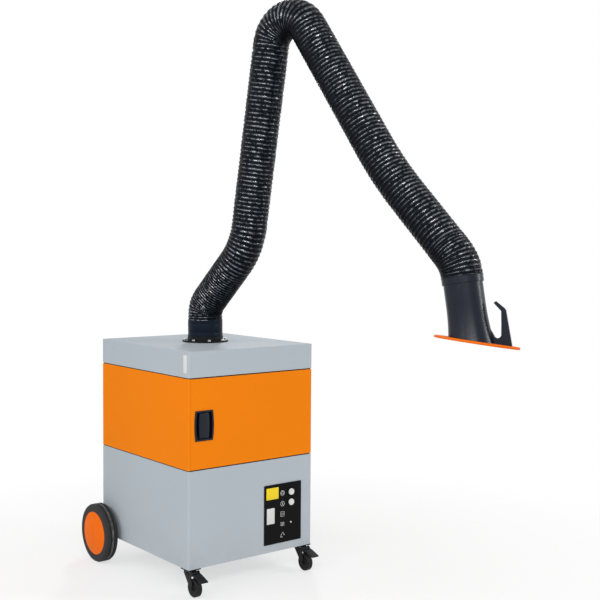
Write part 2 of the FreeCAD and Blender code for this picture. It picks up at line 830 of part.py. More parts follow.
def make_brake_pedal():
    """Foot lever on its pivot pin between the fork's ears."""
    half_gap = caster_wheel_width / 2 + swing_gap
    reach = half_gap + caster_leg
    pin = cylinder(pedal_pivot_radius, Vector(kingpin_x - reach, pedal_pivot_y, pedal_pivot_z),
                   Vector(kingpin_x + reach, pedal_pivot_y, pedal_pivot_z))
    barrel_half = half_gap - slide_fit
    barrel = cylinder(pedal_pivot_radius * 2 - swing_gap,
                      Vector(kingpin_x - barrel_half, pedal_pivot_y, pedal_pivot_z),
                      Vector(kingpin_x + barrel_half, pedal_pivot_y, pedal_pivot_z))
    tip_y = pedal_pivot_y - pedal_reach
    tip_z = pedal_pivot_z - pedal_drop
    knee_y = pedal_pivot_y - pedal_reach / 3
    knee_z = pedal_pivot_z - pedal_drop / 6
    outline = [Vector(kingpin_x - pedal_width / 2, y, z) for y, z in (
        (pedal_pivot_y, pedal_pivot_z + pedal_thickness / 2), (knee_y, knee_z + pedal_thickness / 2),
        (tip_y, tip_z + pedal_thickness / 2), (tip_y, tip_z - pedal_thickness / 2),
        (knee_y, knee_z - pedal_thickness / 2), (pedal_pivot_y, pedal_pivot_z - pedal_thickness / 2))]
    plate = Part.Face(Part.makePolygon(outline + outline[:1])).extrude(Vector(pedal_width, 0, 0))
    clear = pedal_ear_radius + swing_gap
    ear_room = [cylinder(clear, Vector(kingpin_x + a, pedal_pivot_y, pedal_pivot_z),
                         Vector(kingpin_x + b, pedal_pivot_y, pedal_pivot_z))
                for a, b in ((-reach - overrun, -barrel_half), (barrel_half, reach + overrun))]
    return fused([barrel, plate.cut(Part.makeCompound(ear_room)), pin])


# Filter

def make_filter_rails():
    inner = half_width - sheet
    rail = fused([
        box(inner - rail_thickness, inner, cassette_front, cassette_rear,
            rail_z, cassette_bottom),
        box(cassette_half_width - rail_leg, inner, cassette_front, cassette_rear,
            cassette_bottom - rail_thickness, cassette_bottom),
    ])
    return Part.makeCompound([rail, mirrored(rail)])


def make_filter_frame():
    outer = box(-cassette_half_width, cassette_half_width, cassette_front, cassette_rear,
                cassette_bottom, cassette_bottom + cassette_height)
    inner = box(-cassette_half_width + cassette_wall, cassette_half_width - cassette_wall,
                cassette_front + cassette_wall, cassette_rear - cassette_wall,
                cassette_bottom - overrun, cassette_bottom + cassette_height + overrun)
    return outer.cut(inner)


def make_filter_pleats():
    """One folded sheet of filter medium, wall to wall in the cassette."""
    half = cassette_half_width - cassette_wall
    low = cassette_bottom + pleat_end_gap
    high = cassette_bottom + cassette_height - pleat_end_gap
    step = half / pleats
    slope = pleat_thickness / step
    fold = (high - low) * slope / (1 + slope)
    front = cassette_front + cassette_wall
    under = [Vector(-half + index * step, front, high - fold if index % 2 else low)
             for index in range(2 * pleats + 1)]
    over = [p + Vector(0, 0, fold) for p in reversed(under)]
    outline = Part.makePolygon(under + over + under[:1])
    return Part.Face(outline).extrude(Vector(0, cassette_rear - cassette_wall - front, 0))


def make_prefilter_mat():
    low = cassette_bottom + cassette_height
    return box(-cassette_half_width, cassette_half_width, cassette_front, cassette_rear,
               low, low + mat_thickness)


def make_spark_trap():
    """Slotted plate under the inlet, carried on the flange of the filter section."""
    half = half_width - flange_width + trap_overlap
    front = frame_front + flange_width - trap_overlap
    rear = half_depth - flange_width + trap_overlap
    plate = box(-half, half, front, rear, housing_top, housing_top + sheet)
    pitch = (rear - front) / (trap_slots + 1)
    slots = [box(-half / 2, half / 2, front + (i + 1) * pitch - trap_slot_width / 2,
                 front + (i + 1) * pitch + trap_slot_width / 2,
                 housing_top - overrun, housing_top + overrun) for i in range(trap_slots)]
    return plate.cut(Part.makeCompound(slots))


# Fan

def make_fan_deck():
    plate = box(-half_width + sheet, half_width - sheet, frame_back, half_depth - sheet,
                deck_bottom, deck_top)
    plate = plate.makeFillet(edge_radius, [e for e in upright_edges(plate) if e.CenterOfMass.y > 0])
    return plate.cut(pillar(fan_eye_radius, deck_bottom - overrun, deck_top + overrun))


def make_inlet_cone():
    """Bell mouth that guides the air into the eye of the impeller."""
    throat = fan_eye_radius * cone_throat_share
    outer = fan_eye_radius - slide_fit
    low = deck_bottom - cone_depth
    points = [(outer + cone_flange_width, deck_top), (outer + cone_flange_width, deck_top + cone_sheet),
              (outer - cone_sheet, deck_top + cone_sheet), (throat - cone_sheet, deck_bottom),
              (throat - cone_sheet, low), (throat, low), (throat, deck_bottom), (outer, deck_top)]
    return revolved([Vector(r, 0, z) for r, z in points], Vector(0, 0, 0), swivel_axis)


def scroll_wire(offset, z):
    """Spiral of four quarter arcs whose radius grows at each quarter, closed by the outlet."""
    step = scroll_growth
    edges = []
    centre = Vector(0, 0, z)
    radius = scroll_radius + offset
    for quarter in range(4):
        start = math.pi / 2 * quarter
        angles = (start, start + math.pi / 4, start + math.pi / 2)
        spots = [centre + Vector(radius * math.cos(a), radius * math.sin(a), 0) for a in angles]
        edges.append(Part.Arc(*spots).toShape())
        toward = Vector(math.cos(angles[2]), math.sin(angles[2]), 0)
        centre = centre - toward * step
        radius += step
    first = edges[0].Vertexes[0].Point
    last = edges[-1].Vertexes[-1].Point
    edges.append(Part.makeLine(last, first))
    return Part.Wire(edges)


def make_fan_casing():
    """Scroll round the impeller: floor plate and spiral wall, closed above by the deck."""
    floor = Part.Face(scroll_wire(scroll_wall, scroll_bottom)).extrude(Vector(0, 0, scroll_wall))
    wall = Part.Face(scroll_wire(scroll_wall, scroll_bottom)).extrude(Vector(0, 0, scroll_height))
    hollow = Part.Face(scroll_wire(0, scroll_bottom + scroll_wall))
    hollow = hollow.extrude(Vector(0, 0, scroll_height))
    outlet = box(scroll_radius - scroll_wall, half_width - sheet * 2, -scroll_growth * 4, 0,
                 scroll_bottom + scroll_wall, deck_bottom + overrun)
    casing = fused([floor, wall.cut(hollow).cut(outlet)])
    shaft = pillar(shaft_radius + swing_gap, scroll_bottom - overrun, scroll_bottom + overrun)
    return casing.cut(shaft)


def make_impeller():
    """Back plate, swept blades, cover ring, hub and the shaft that runs in the motor."""
    low = scroll_bottom + scroll_wall + impeller_floor_gap
    high = low + impeller_height
    eye = fan_eye_radius + swing_gap
    back = pillar(impeller_radius, low, low + impeller_plate)
    cover = ring(impeller_radius, eye, high - impeller_plate, high)
    hub = pillar(impeller_hub_radius, low, low + impeller_height / 2)
    shaft = pillar(shaft_radius, scroll_bottom - motor_height + motor_end_cover * 2, low)
    sweep = math.radians(blade_sweep_deg)
    inner = eye * cone_throat_share
    ends = [Vector(inner, 0, low), Vector(impeller_radius * math.cos(sweep),
                                          -impeller_radius * math.sin(sweep), low)]
    middle = (inner + impeller_radius) / 2
    bend = Vector(middle * math.cos(sweep * blade_bend_share),
                  -middle * math.sin(sweep * blade_bend_share), low)
    chord = ends[1] - ends[0]
    side = Vector(-chord.y, chord.x, 0).normalize() * blade_thickness
    blade_wire = Part.Wire([
        Part.Arc(ends[0], bend, ends[1]).toShape(),
        Part.makeLine(ends[1], ends[1] + side),
        Part.Arc(ends[1] + side, bend + side, ends[0] + side).toShape(),
        Part.makeLine(ends[0] + side, ends[0]),
    ])
    blade = Part.Face(blade_wire).extrude(Vector(0, 0, impeller_height))
    blade = blade.common(pillar(impeller_radius, low, high))
    blades = []
    for index in range(impeller_blades):
        turned = blade.copy()
        turned.rotate(Vector(0, 0, 0), swivel_axis, 360 * index / impeller_blades)
        blades.append(turned)
    return fused([back, cover, hub, shaft] + blades)


def make_fan_motor():
    """Finned motor hung under the scroll by its flange."""
    low = scroll_bottom - motor_height
    body = pillar(motor_radius - motor_fin_height, low, scroll_bottom)
    flange = pillar(motor_flange_radius, scroll_bottom - motor_flange, scroll_bottom)
    fins = []
    for index in range(motor_fins):
        fin = box(0, motor_radius, -motor_fin_thickness / 2, motor_fin_thickness / 2,
                  low + motor_end_cover, scroll_bottom - motor_flange)
        fin.rotate(Vector(0, 0, 0), swivel_axis, 360 * index / motor_fins)
        fins.append(fin)
    cover = pillar(motor_radius, low, low + motor_end_cover)
    bore = pillar(shaft_radius + run_fit, low + motor_end_cover, scroll_bottom + overrun)
    return fused([body, flange, cover] + fins).cut(bore)


# Arm flange and swivel

def bolt_set(radius, low, high):
    """Round bars on the bolt circle of the arm flange, from its seat on the lid."""
    bars = []
    for index in range(flange_bolts):
        angle = 2 * math.pi * (index + upright_share) / flange_bolts
        bars.append(pillar(radius, lid_top + low, lid_top + high,
                           flange_bolt_circle * math.cos(angle),
                           flange_bolt_circle * math.sin(angle)))
    return Part.makeCompound(bars)


def make_arm_flange():
    plate = ring(flange_radius, duct_radius, lid_top, flange_top)
    spigot = ring(spigot_radius, duct_radius, lid_top,
                  swivel_top - spider_height - swing_gap)
    return fused([plate, spigot]).cut(bolt_set(bolt_radius + slide_fit, -overrun, overrun))


def make_flange_bolts():
    """Hexagon-head bolts through the flange and the lid."""
    bolts = []
    for index in range(flange_bolts):
        angle = 2 * math.pi * (index + upright_share) / flange_bolts
        spot = Vector(flange_bolt_circle * math.cos(angle),
                      flange_bolt_circle * math.sin(angle), flange_top)
        corners = [spot + Vector(bolt_head_radius * math.cos(a), bolt_head_radius * math.sin(a), 0)
                   for a in [math.pi / 3 * k for k in range(7)]]
        head = Part.Face(Part.makePolygon(corners)).extrude(Vector(0, 0, bolt_head_height))
        shank = cylinder(bolt_radius, spot - Vector(0, 0, flange_thickness + sheet * 2), spot)
        bolts.append(fused([head, shank]))
    return Part.makeCompound(bolts)


def make_swivel_ring():
    """Collar that turns on the flange's spigot, with a cross that carries the pedestal."""
    foot_low = flange_top + slide_fit
    neck_low = flange_top + swivel_foot_height
    foot = ring(swivel_foot_radius, swivel_bore_radius, foot_low, neck_low)
    neck = ring(swivel_neck_radius, swivel_bore_radius, neck_low, swivel_top)
    reach = swivel_bore_radius + swivel_wall / 2
    low = swivel_top - spider_height
    bars = [box(-reach, reach, -spider_width / 2, spider_width / 2, low, swivel_top),
            box(-spider_width / 2, spider_width / 2, -reach, reach, low, swivel_top)]
    return fused([foot, neck] + bars)


# Arm route in the XZ plane

def lean_vector(lean_deg):
    """Direction in the arm plane at an angle from straight up, leaning outward."""
    return Vector(math.sin(math.radians(lean_deg)), 0, math.cos(math.radians(lean_deg)))


class Route:
    """Straight runs joined by tangent arcs, measured along its length."""

    def __init__(self, start, runs, leans, radii):
        self.spans = []
        self.bends = []
        trims = [0]
        for index, radius in enumerate(radii):
            turn = math.radians(abs(leans[index + 1] - leans[index]))
            trims.append(radius * math.tan(turn / 2))
        trims.append(0)
        spot = start
        station = 0
        for index, run in enumerate(runs):
            way = lean_vector(leans[index])
            length = run - trims[index] - trims[index + 1]
            self.spans.append(("line", station, length, spot, leans[index], 0))
            spot = spot + way * length
            station += length
            if index < len(radii):
                change = leans[index + 1] - leans[index]
                length = radii[index] * math.radians(abs(change))
                self.spans.append(("arc", station, length, spot, leans[index], change))
                self.bends.append((station, station + length))
                spot = self.on_arc(self.spans[-1], length)
                station += length
        self.length = station

    @staticmethod
    def on_arc(span, along):
        _, _, length, start, lean, change = span
        radius = length / math.radians(abs(change))
        side = 1 if change > 0 else -1
        centre = start + lean_vector(lean + side * 90) * radius
        return centre - lean_vector(lean + change * along / length + side * 90) * radius

    def span_at(self, station):
        for span in self.spans:
            if station <= span[1] + span[2]:
                return span
        return self.spans[-1]

    def point(self, station):
        span = self.span_at(station)
        along = station - span[1]
        if span[0] == "line":
            return span[3] + lean_vector(span[4]) * along
        return self.on_arc(span, along)

    def lean(self, station):
        span = self.span_at(station)
        return span[4] + span[5] * (station - span[1]) / span[2]

    def wire(self, start, end):
        """Path of line and arc edges between two stations."""
        edges = []
        for span in self.spans:
            low = max(start, span[1])
            high = min(end, span[1] + span[2])
            if span is self.spans[0]:
                low = start
            if span is self.spans[-1]:
                high = end
            if high - low < run_fit:
                continue
            ends = [self.point_on(span, s) for s in (low, (low + high) / 2, high)]
            if span[0] == "line":
                edges.append(Part.makeLine(ends[0], ends[2]))
            else:
                edges.append(Part.Arc(*ends).toShape())
        return Part.Wire(edges)

    def point_on(self, span, station):
        along = station - span[1]
        if span[0] == "line":
            return span[3] + lean_vector(span[4]) * along
        return self.on_arc(span, along)

    def circle(self, station, radius):
        """Circle square to the route, with its X axis across the arm plane."""
        turn = Rotation(across, Vector(0, 0, 0), lean_vector(self.lean(station)), "ZXY")
        loop = Part.makeCircle(radius)
        loop.Placement = Placement(self.point(station), turn)
        return Part.Wire([loop])

    def rod(self, start, end, radius):
        """Round bar along the route."""
        return self.wire(start, end).makePipeShell([self.circle(start, radius)], True, False)


arm_route = Route(
    Vector(0, 0, lid_top),
    [riser_length, base_run_length, lower_run_length, upper_run_length, tail_run_length,
     neck_run_length],
    [0, base_lean_deg, lower_lean_deg, upper_lean_deg, tail_lean_deg, neck_lean_deg],
    [riser_bend_radius, shoulder_bend_radius, elbow_bend_radius, sag_bend_radius,
     wrist_bend_radius])
riser_bend, shoulder_bend, elbow_bend, sag_bend, wrist_bend = arm_route.bends
shoulder_station = sum(shoulder_bend) / 2
elbow_station = sum(elbow_bend) / 2
wrist_station = sum(wrist_bend) / 2
hood_station = arm_route.length
hose_start = flange_thickness + swivel_foot_height + slide_fit
hose_shoulder_start = shoulder_bend[0] - shoulder_slack
hose_lower_start = shoulder_bend[1] + shoulder_slack
hose_wrist_start = wrist_bend[0] - wrist_slack


def in_arm_plane(shape):
    """Turn a piece made in the XZ plane to the direction that the arm points in."""
    turned = shape.copy()
    turned.rotate(Vector(0, 0, 0), swivel_axis, arm_azimuth_deg)
    return turned


def hose(start, end, pitch, cuff=0):
    """Ribbed hose between two stations, with an optional smooth cuff at its start."""
    low = start
    circles = []
    if cuff:
        circles += [(low, hose_crest_radius), (low + cuff, hose_crest_radius)]
        low += cuff + pitch / 4
    high = end - slide_fit
    ribs = max(1, round((high - low) / pitch))
    step = (high - low) / ribs
    radii = (hose_root_radius, hose_crest_radius, hose_crest_radius, hose_root_radius)
    for rib in range(ribs):
        for share, radius in zip(rib_station_shares, radii):
            circles.append((low + (rib + share) * step, radius))
    circles.append((high, hose_root_radius))
    skin = Part.makeLoft([arm_route.circle(s, r) for s, r in circles], True, True)
    bore = arm_route.rod(start, high, hose_bore_radius)
    return in_arm_plane(skin.cut(bore))


# Skeleton of the arm

def ear(station, sign, y_low, y_high, reach):
    """Plate with a round end on a pivot, reaching along the route to its link."""
    pivot = arm_route.point(station)
    way = lean_vector(arm_route.lean(station)) * sign
    side = lean_vector(arm_route.lean(station) + 90) * link_radius * ear_neck_share
    disc = cylinder(ear_radius, pivot + across * y_low, pivot + across * y_high)
    far = pivot + way * reach
    corners = [pivot + side, far + side, far - side, pivot - side]
    neck = Part.Face(Part.makePolygon([c + across * y_low for c in corners + corners[:1]]))
    return disc.fuse(neck.extrude(across * (y_high - y_low)))


def pivot_offset():
    """Distance along a link from its pivot to the face of its end plug."""
    return ear_radius + swing_gap


def tongue(station, sign):
    """Single ear in the middle, bored for the pin, on an end plug."""
    half = tongue_thickness / 2
    reach = pivot_offset() + link_plug
    blade = ear(station, sign, -half, half, reach)
    pivot = arm_route.point(station)
    bore = cylinder(pivot_pin_radius + run_fit, pivot - across * overrun, pivot + across * overrun)
    return blade.cut(bore)


def fork(station, sign):
    """Two outer ears with the pin of the pivot and its heads."""
    half = tongue_thickness / 2 + slide_fit
    outer = half + ear_thickness
    reach = pivot_offset() + link_plug
    pivot = arm_route.point(station)
    pieces = [ear(station, sign, half, outer, reach), ear(station, sign, -outer, -half, reach)]
    end = outer + pivot_head
    pieces.append(cylinder(pivot_pin_radius, pivot - across * end, pivot + across * end))
    for low, high in ((outer, end), (-end, -outer)):
        pieces.append(cylinder(pivot_head_radius, pivot + across * low, pivot + across * high))
    return pieces


def plug(station, sign):
    """Short bar that closes a link behind its pivot."""
    near = station + sign * pivot_offset()
    far = near + sign * link_plug
    return arm_route.rod(min(near, far), max(near, far), link_radius)


def link_tube(start, end):
    outer = arm_route.rod(start, end, link_radius)
    return outer.cut(arm_route.rod(start, end, link_radius - link_wall))


def make_pedestal():
    """Bent tube on a foot, from the swivel's cross to the shoulder."""
    foot_low = swivel_top - lid_top
    foot = pillar(foot_radius, swivel_top, swivel_top + foot_thickness)
    start = foot_low + foot_thickness
    end = shoulder_station - pivot_offset() - link_plug
    pieces = [foot, link_tube(start, end), plug(shoulder_station, -1)]
    return in_arm_plane(fused(pieces + fork(shoulder_station, -1)))


def make_link(first, second):
    """Bent tube with a tongue at its lower pivot and a fork at its upper one."""
    start = first + pivot_offset() + link_plug
    end = second - pivot_offset() - link_plug
    pieces = [tongue(first, 1), plug(first, 1), link_tube(start, end), plug(second, -1)]
    return in_arm_plane(fused(pieces + fork(second, -1)))


# Hood and wrist, made about an upright neck axis and then set on the end of the route

def on_neck(shape, turn_deg=0):
    """Set a piece made with its neck end at the origin, hanging down, on the arm's end."""
    placed = shape.copy()
    placed.rotate(Vector(0, 0, 0), swivel_axis, turn_deg)
    placed.rotate(Vector(0, 0, 0), across, neck_lean_deg - 180)
    placed.translate(arm_route.point(hood_station))
    return in_arm_plane(placed)


def turned(profile):
    return revolved([Vector(r, 0, z) for r, z in profile], Vector(0, 0, 0), swivel_axis)


neck_top = -yoke_flange - slide_fit
clamp_outer = neck_radius + neck_bead + slide_fit + clamp_wall
rim_centre = Vector(rim_offset, 0, -hood_axis_length)


def make_wrist_yoke():
    """Tongue and stem in the hose, on a crossed ring that holds the hood's neck."""
    outer = neck_radius - hood_wall - slide_fit
    inner = outer - hood_wall
    rings = turned([(inner, 0), (clamp_outer, 0), (clamp_outer, -yoke_flange), (outer, -yoke_flange),
                    (outer, -yoke_ring_height), (inner, -yoke_ring_height)])
    reach = inner + hood_wall / 2
    half = link_radius / 2
    bars = [box(-reach, reach, -half, half, -yoke_ring_height, 0),
            box(-half, half, -reach, reach, -yoke_ring_height, 0),
            pillar(link_radius, -yoke_ring_height, 0)]
    cross = on_neck(fused([rings] + bars))
    start = wrist_station + pivot_offset()
    stem = arm_route.rod(start, hood_station, link_radius)
    return fused([in_arm_plane(fused([tongue(wrist_station, 1), stem])), cross])


def make_hose_clamp():
    """Band round the joint of hose and hood, with a lip under the neck's bead and a screw lug."""
    groove = neck_radius + neck_bead + slide_fit
    lip = neck_radius + slide_fit
    low = -yoke_flange - clamp_height
    band = turned([(groove, -yoke_flange), (clamp_outer, -yoke_flange), (clamp_outer, low),
                   (lip, low), (lip, low + clamp_lip_height), (groove, low + clamp_lip_height)])
    middle = -yoke_flange - clamp_height / 2
    lug = box(-clamp_outer - clamp_lug_reach, -groove - clamp_wall / 2, -clamp_lug_width / 2,
              clamp_lug_width / 2, middle - clamp_lug_height / 2, middle + clamp_lug_height / 2)
    lug = lug.makeFillet(clamp_lug_reach / 2, [e for e in lug.Edges
                                               if e.BoundBox.XMax < -clamp_outer - clamp_lug_reach / 2])
    return on_neck(fused([band, lug]))


def bell(offset):
    """Neck that runs straight and then flares to the mouth."""
    straight = -hood_straight_length
    flare = hood_mouth_radius - neck_radius
    flare_length = hood_axis_length - hood_straight_length
    low = -hood_axis_length - rim_half_length * rim_edge_share
    slope = 2 * flare / flare_length
    top = Vector(neck_radius + offset, 0, neck_top)
    bend = Vector(neck_radius + offset, 0, straight)
    middle = Vector(neck_radius + offset + flare / 4, 0, straight - flare_length / 2)
    mouth = Vector(hood_mouth_radius + offset, 0, -hood_axis_length)
    end = Vector(hood_mouth_radius + offset + slope * (-hood_axis_length - low), 0, low)
    outline = Part.Wire([
        Part.makeLine(Vector(0, 0, neck_top), top), Part.makeLine(top, bend),
        Part.Arc(bend, middle, mouth).toShape(), Part.makeLine(mouth, end),
        Part.makeLine(end, Vector(0, 0, low)), Part.makeLine(Vector(0, 0, low), Vector(0, 0, neck_top)),
    ])
    return Part.Face(outline).revolve(Vector(0, 0, 0), swivel_axis, 360)


def rim_slab(half_length, half_width_rim, low, high):
    """Oval slab in the slanted plane of the hood's mouth, between two heights over it."""
    oval = Part.makeCircle(half_width_rim)
    stretch = FreeCAD.Matrix()
    stretch.scale(Vector(half_length / half_width_rim, 1, 1))
    slab = Part.Face(Part.Wire([oval.transformGeometry(stretch)]))
    slab = slab.extrude(Vector(0, 0, high - low))
    slab.translate(Vector(0, 0, low))
    slab.rotate(Vector(0, 0, 0), across, rim_tilt_deg)
    slab.translate(rim_centre)
    return slab


def below_rim(height):
    """Everything under the slanted plane of the mouth, raised by a height."""
    size = hood_axis_length * 2
    block = box(-size, size, -size, size, height - size, height)
    block.rotate(Vector(0, 0, 0), across, rim_tilt_deg)
    block.translate(rim_centre)
    return block


def make_hood_shell():
    """Bell with a bead at its neck and the moulded hook handle on its outer side."""
    outer = bell(0).cut(below_rim(0))
    bead = ring(neck_radius + neck_bead, neck_radius - hood_wall / 2, neck_top - neck_bead_height,
                neck_top)
    points = [Vector(x * grip_reach, -grip_width / 2, -z * hood_axis_length)
              for x, z in grip_outline_shares]
    grip = Part.Face(Part.makePolygon(points + points[:1])).extrude(Vector(0, grip_width, 0))
    grip = grip.cut(below_rim(rim_thickness_hood))
    inner = bell(-hood_wall)
    inner = fused([inner, pillar(neck_radius - hood_wall, neck_top - overrun, neck_top + overrun)])
    return on_neck(fused([outer, bead, grip]).cut(inner), hood_turn_rest_deg)


def make_hood_rim():
    """Flat oval plate round the mouth, with a rounded edge."""
    plate = rim_slab(rim_half_length, rim_half_width, 0, rim_thickness_hood)
    edges = [e for e in plate.Edges if e.Length > rim_half_width]
    plate = plate.makeFillet(rim_thickness_hood * rim_edge_share, edges)
    return on_neck(plate.cut(bell(0)), hood_turn_rest_deg)


def make_hood_guard():
    """Ring with parallel bars across the neck that keeps large scraps out."""
    radius = neck_radius - hood_wall
    low = -guard_depth - guard_thickness
    band = ring(radius, radius - guard_bar, low, -guard_depth)
    pitch = 2 * radius / (guard_bars + 1)
    pieces = [band]
    for index in range(guard_bars):
        x = -radius + (index + 1) * pitch
        reach = math.sqrt(radius ** 2 - x ** 2) - guard_bar / 2
        pieces.append(box(x - guard_bar / 2, x + guard_bar / 2, -reach, reach, low, -guard_depth))
    return on_neck(fused(pieces), hood_turn_rest_deg)


def build():
    """Every node of the assembly, by name."""
    tyre, rim, cap = make_tyre(), make_rim(), make_cap()
    caster_fork, caster_wheel = make_caster_fork(), make_caster_wheel()
    pedal = make_brake_pedal()
    return {
        "base_cabinet": make_base_cabinet(),
        "filter_housing": make_filter_housing(),
        "top_cover": make_top_cover(),
        "section_seals": make_section_seals(),
        "door_gasket": make_door_gasket(),
        "hinge_leaves": make_hinge_leaves(),
        "door_panel": make_door_panel(),
        "door_knuckles": make_door_knuckles(),
        "latch_dish": make_latch_dish(),
        "latch_paddle": make_latch_paddle(),
        "control_panel": make_control_panel(),
        "start_button": make_button(start_z),
        "stop_button": make_button(stop_z),
        "control_box": make_control_box(),
        "status_lamp": make_status_lamp(),
        "cable_gland": make_cable_gland(),
        "outlet_grille": make_outlet_grille(),
        "rear_axle": make_rear_axle(),
        "axle_blocks": make_axle_blocks(),
        "tyre_right": tyre,
        "rim_right": rim,
        "cap_right": cap,
        "tyre_left": mirrored(tyre),
        "rim_left": mirrored(rim),
        "cap_left": mirrored(cap),
        "caster_plates": make_caster_plates(),
        "caster_fork_right": caster_fork,
        "caster_wheel_right": caster_wheel,
        "brake_pedal_right": pedal,
        "caster_fork_left": mirrored(caster_fork),
        "caster_wheel_left": mirrored(caster_wheel),
        "brake_pedal_left": mirrored(pedal),
        "filter_rails": make_filter_rails(),
        "filter_frame": make_filter_frame(),
        "filter_pleats": make_filter_pleats(),
        "prefilter_mat": make_prefilter_mat(),
        "spark_trap": make_spark_trap(),
        "fan_deck": make_fan_deck(),
        "inlet_cone": make_inlet_cone(),
        "fan_casing": make_fan_casing(),
        "impeller": make_impeller(),
        "fan_motor": make_fan_motor(),
        "arm_flange": make_arm_flange(),
        "flange_bolts": make_flange_bolts(),
        "swivel_ring": make_swivel_ring(),
        "pedestal": make_pedestal(),
        "lower_link": make_link(shoulder_station, elbow_station),
        "upper_link": make_link(elbow_station, wrist_station),
        "wrist_yoke": make_wrist_yoke(),
        "hose_base": hose(hose_start, hose_shoulder_start, rib_pitch_gathered, cuff_length),
        "hose_shoulder": hose(hose_shoulder_start, hose_lower_start, rib_pitch),
        "hose_lower": hose(hose_lower_start, elbow_bend[0], rib_pitch),
        "hose_elbow": hose(elbow_bend[0], elbow_bend[1], rib_pitch),
        "hose_upper": hose(elbow_bend[1], hose_wrist_start, rib_pitch),
        "hose_wrist": hose(hose_wrist_start, hood_station, rib_pitch_gathered),
        "hose_clamp": make_hose_clamp(),
        "hood_shell": make_hood_shell(),
        "hood_rim": make_hood_rim(),
        "hood_guard": make_hood_guard(),
    }


def main():
    os.makedirs("parts", exist_ok=True)
    for name, shape in build().items():
        shape.exportStep(os.path.join("parts", name + ".step"))


main()
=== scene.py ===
"""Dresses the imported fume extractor: powder-coated cabinet, ribbed hose on the arm, hood,
controls, wheels and a plain studio. Lengths are metres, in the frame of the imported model."""

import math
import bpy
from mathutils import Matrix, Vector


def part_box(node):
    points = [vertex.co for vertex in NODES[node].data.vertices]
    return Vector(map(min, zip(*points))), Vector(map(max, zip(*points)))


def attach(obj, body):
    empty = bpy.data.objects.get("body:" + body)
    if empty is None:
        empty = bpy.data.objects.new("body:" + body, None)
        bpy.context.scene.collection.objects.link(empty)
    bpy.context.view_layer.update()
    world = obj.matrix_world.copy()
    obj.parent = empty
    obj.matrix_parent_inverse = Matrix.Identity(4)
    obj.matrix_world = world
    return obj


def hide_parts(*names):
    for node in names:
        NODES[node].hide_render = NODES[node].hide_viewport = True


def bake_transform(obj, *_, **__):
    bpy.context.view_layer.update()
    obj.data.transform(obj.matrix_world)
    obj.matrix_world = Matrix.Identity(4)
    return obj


bl_info = {
    "name": "Fume extractor dressing",
    "version": (1, 0, 0),
    "blender": (4, 5, 0),
    "location": "View3D > Sidebar > Extractor",
    "description": "Finishes and soft pieces of a mobile welding fume extractor",
    "category": "Object",
}

import bmesh
import bpy
import numpy as np
from bpy.props import FloatProperty, FloatVectorProperty, IntProperty, PointerProperty
from mathutils import Matrix, Vector, noise

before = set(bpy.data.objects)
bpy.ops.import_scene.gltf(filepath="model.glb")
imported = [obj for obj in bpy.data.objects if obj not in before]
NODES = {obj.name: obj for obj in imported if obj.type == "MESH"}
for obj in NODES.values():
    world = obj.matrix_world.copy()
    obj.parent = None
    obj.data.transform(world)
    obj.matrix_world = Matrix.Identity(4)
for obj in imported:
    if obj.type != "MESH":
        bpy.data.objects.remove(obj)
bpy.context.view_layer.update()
PANEL_LOW, PANEL_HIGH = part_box("control_panel")
BASE_LOW, BASE_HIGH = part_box("base_cabinet")
LID_LOW, LID_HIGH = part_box("top_cover")

FRONT, REAR, DOWN = (0, -1, 0), (0, 1, 0), (0, 0, -1)

# Fixed tones of small parts, dust, painted sheen and highlights, and studio
SATIN_BLACK = (0.007, 0.007, 0.008)
SEAL_BLACK = (0.010, 0.010, 0.011)
CASTER_BLACK = (0.009, 0.009, 0.010)
RIM_BLACK = (0.012, 0.012, 0.013)
BOLT_STEEL = (0.62, 0.63, 0.66)
LENS_TONE = (0.55, 0.50, 0.46)
INK_TONE = (0.58, 0.59, 0.60)
WHITE = (1.0, 1.0, 1.0)
FLOOR_TONE = (0.84, 0.84, 0.84)
COAT_DUST = (0.30, 0.285, 0.255)
RUBBER_DUST = (0.075, 0.070, 0.062)
TYRE_DUST = (0.060, 0.058, 0.053)
GROOVE_LIP_HIGHLIGHT = (0.330, 0.325, 0.315)
RIB_SHEEN = (0.055, 0.078, 0.13)
CUFF_SHEEN = (0.010, 0.015, 0.026)

# Screw and rivet heads: radius and height, then the rows of a head as shares of both
GRILLE_SCREW = (0.0050, 0.0028)
LID_SCREW = (0.0055, 0.0030)
PANEL_SCREW = (0.0030, 0.0016)
CASTER_BOLT = (0.0052, 0.0034)
CASSETTE_RIVET = (0.0035, 0.0014)
HEAD_SINK = 0.0004
HEAD_SHARES = ((1.0, 0.35), (0.92, 0.72), (0.72, 0.95), (0.52, 1.0))
SOCKET_SHARES = ((0.46, 1.0), (0.45, 0.35))

# Skin of the hose
CUFF_ROW = -1  # rib number of the rows on the cuff
CUFF_SHARES = (0.0, 0.03, 0.20, 0.23, 0.26, 0.5, 0.74, 0.77, 0.80, 0.97)
CUFF_GROOVES = (0.23, 0.77)
CUFF_WAVE, GROOVE_DEPTH = 0.0009, 0.0007
RIB_SINK = 0.0006
SAG_SHARES = ((0.0, 0.0), (0.10, 0.20), (0.25, 0.78), (0.45, 1.0), (0.62, 0.96), (0.80, 0.66),
              (0.92, 0.16))  # place between two ribs, share of the full sag
TWIST, TWIST_STEP = 0.012, 2.1
# Painted sheen on the hose crests, on the side the light falls on: where round the hose it is
# strongest, the least share left elsewhere, and its width
SHEEN_PEAKS = (80.0, 50.0, 50.0, 140.0)  # degrees, at foot, shoulder, and both ends of the elbow
SHEEN_LEAST, SHEEN_WIDTH = 0.12, 47.0

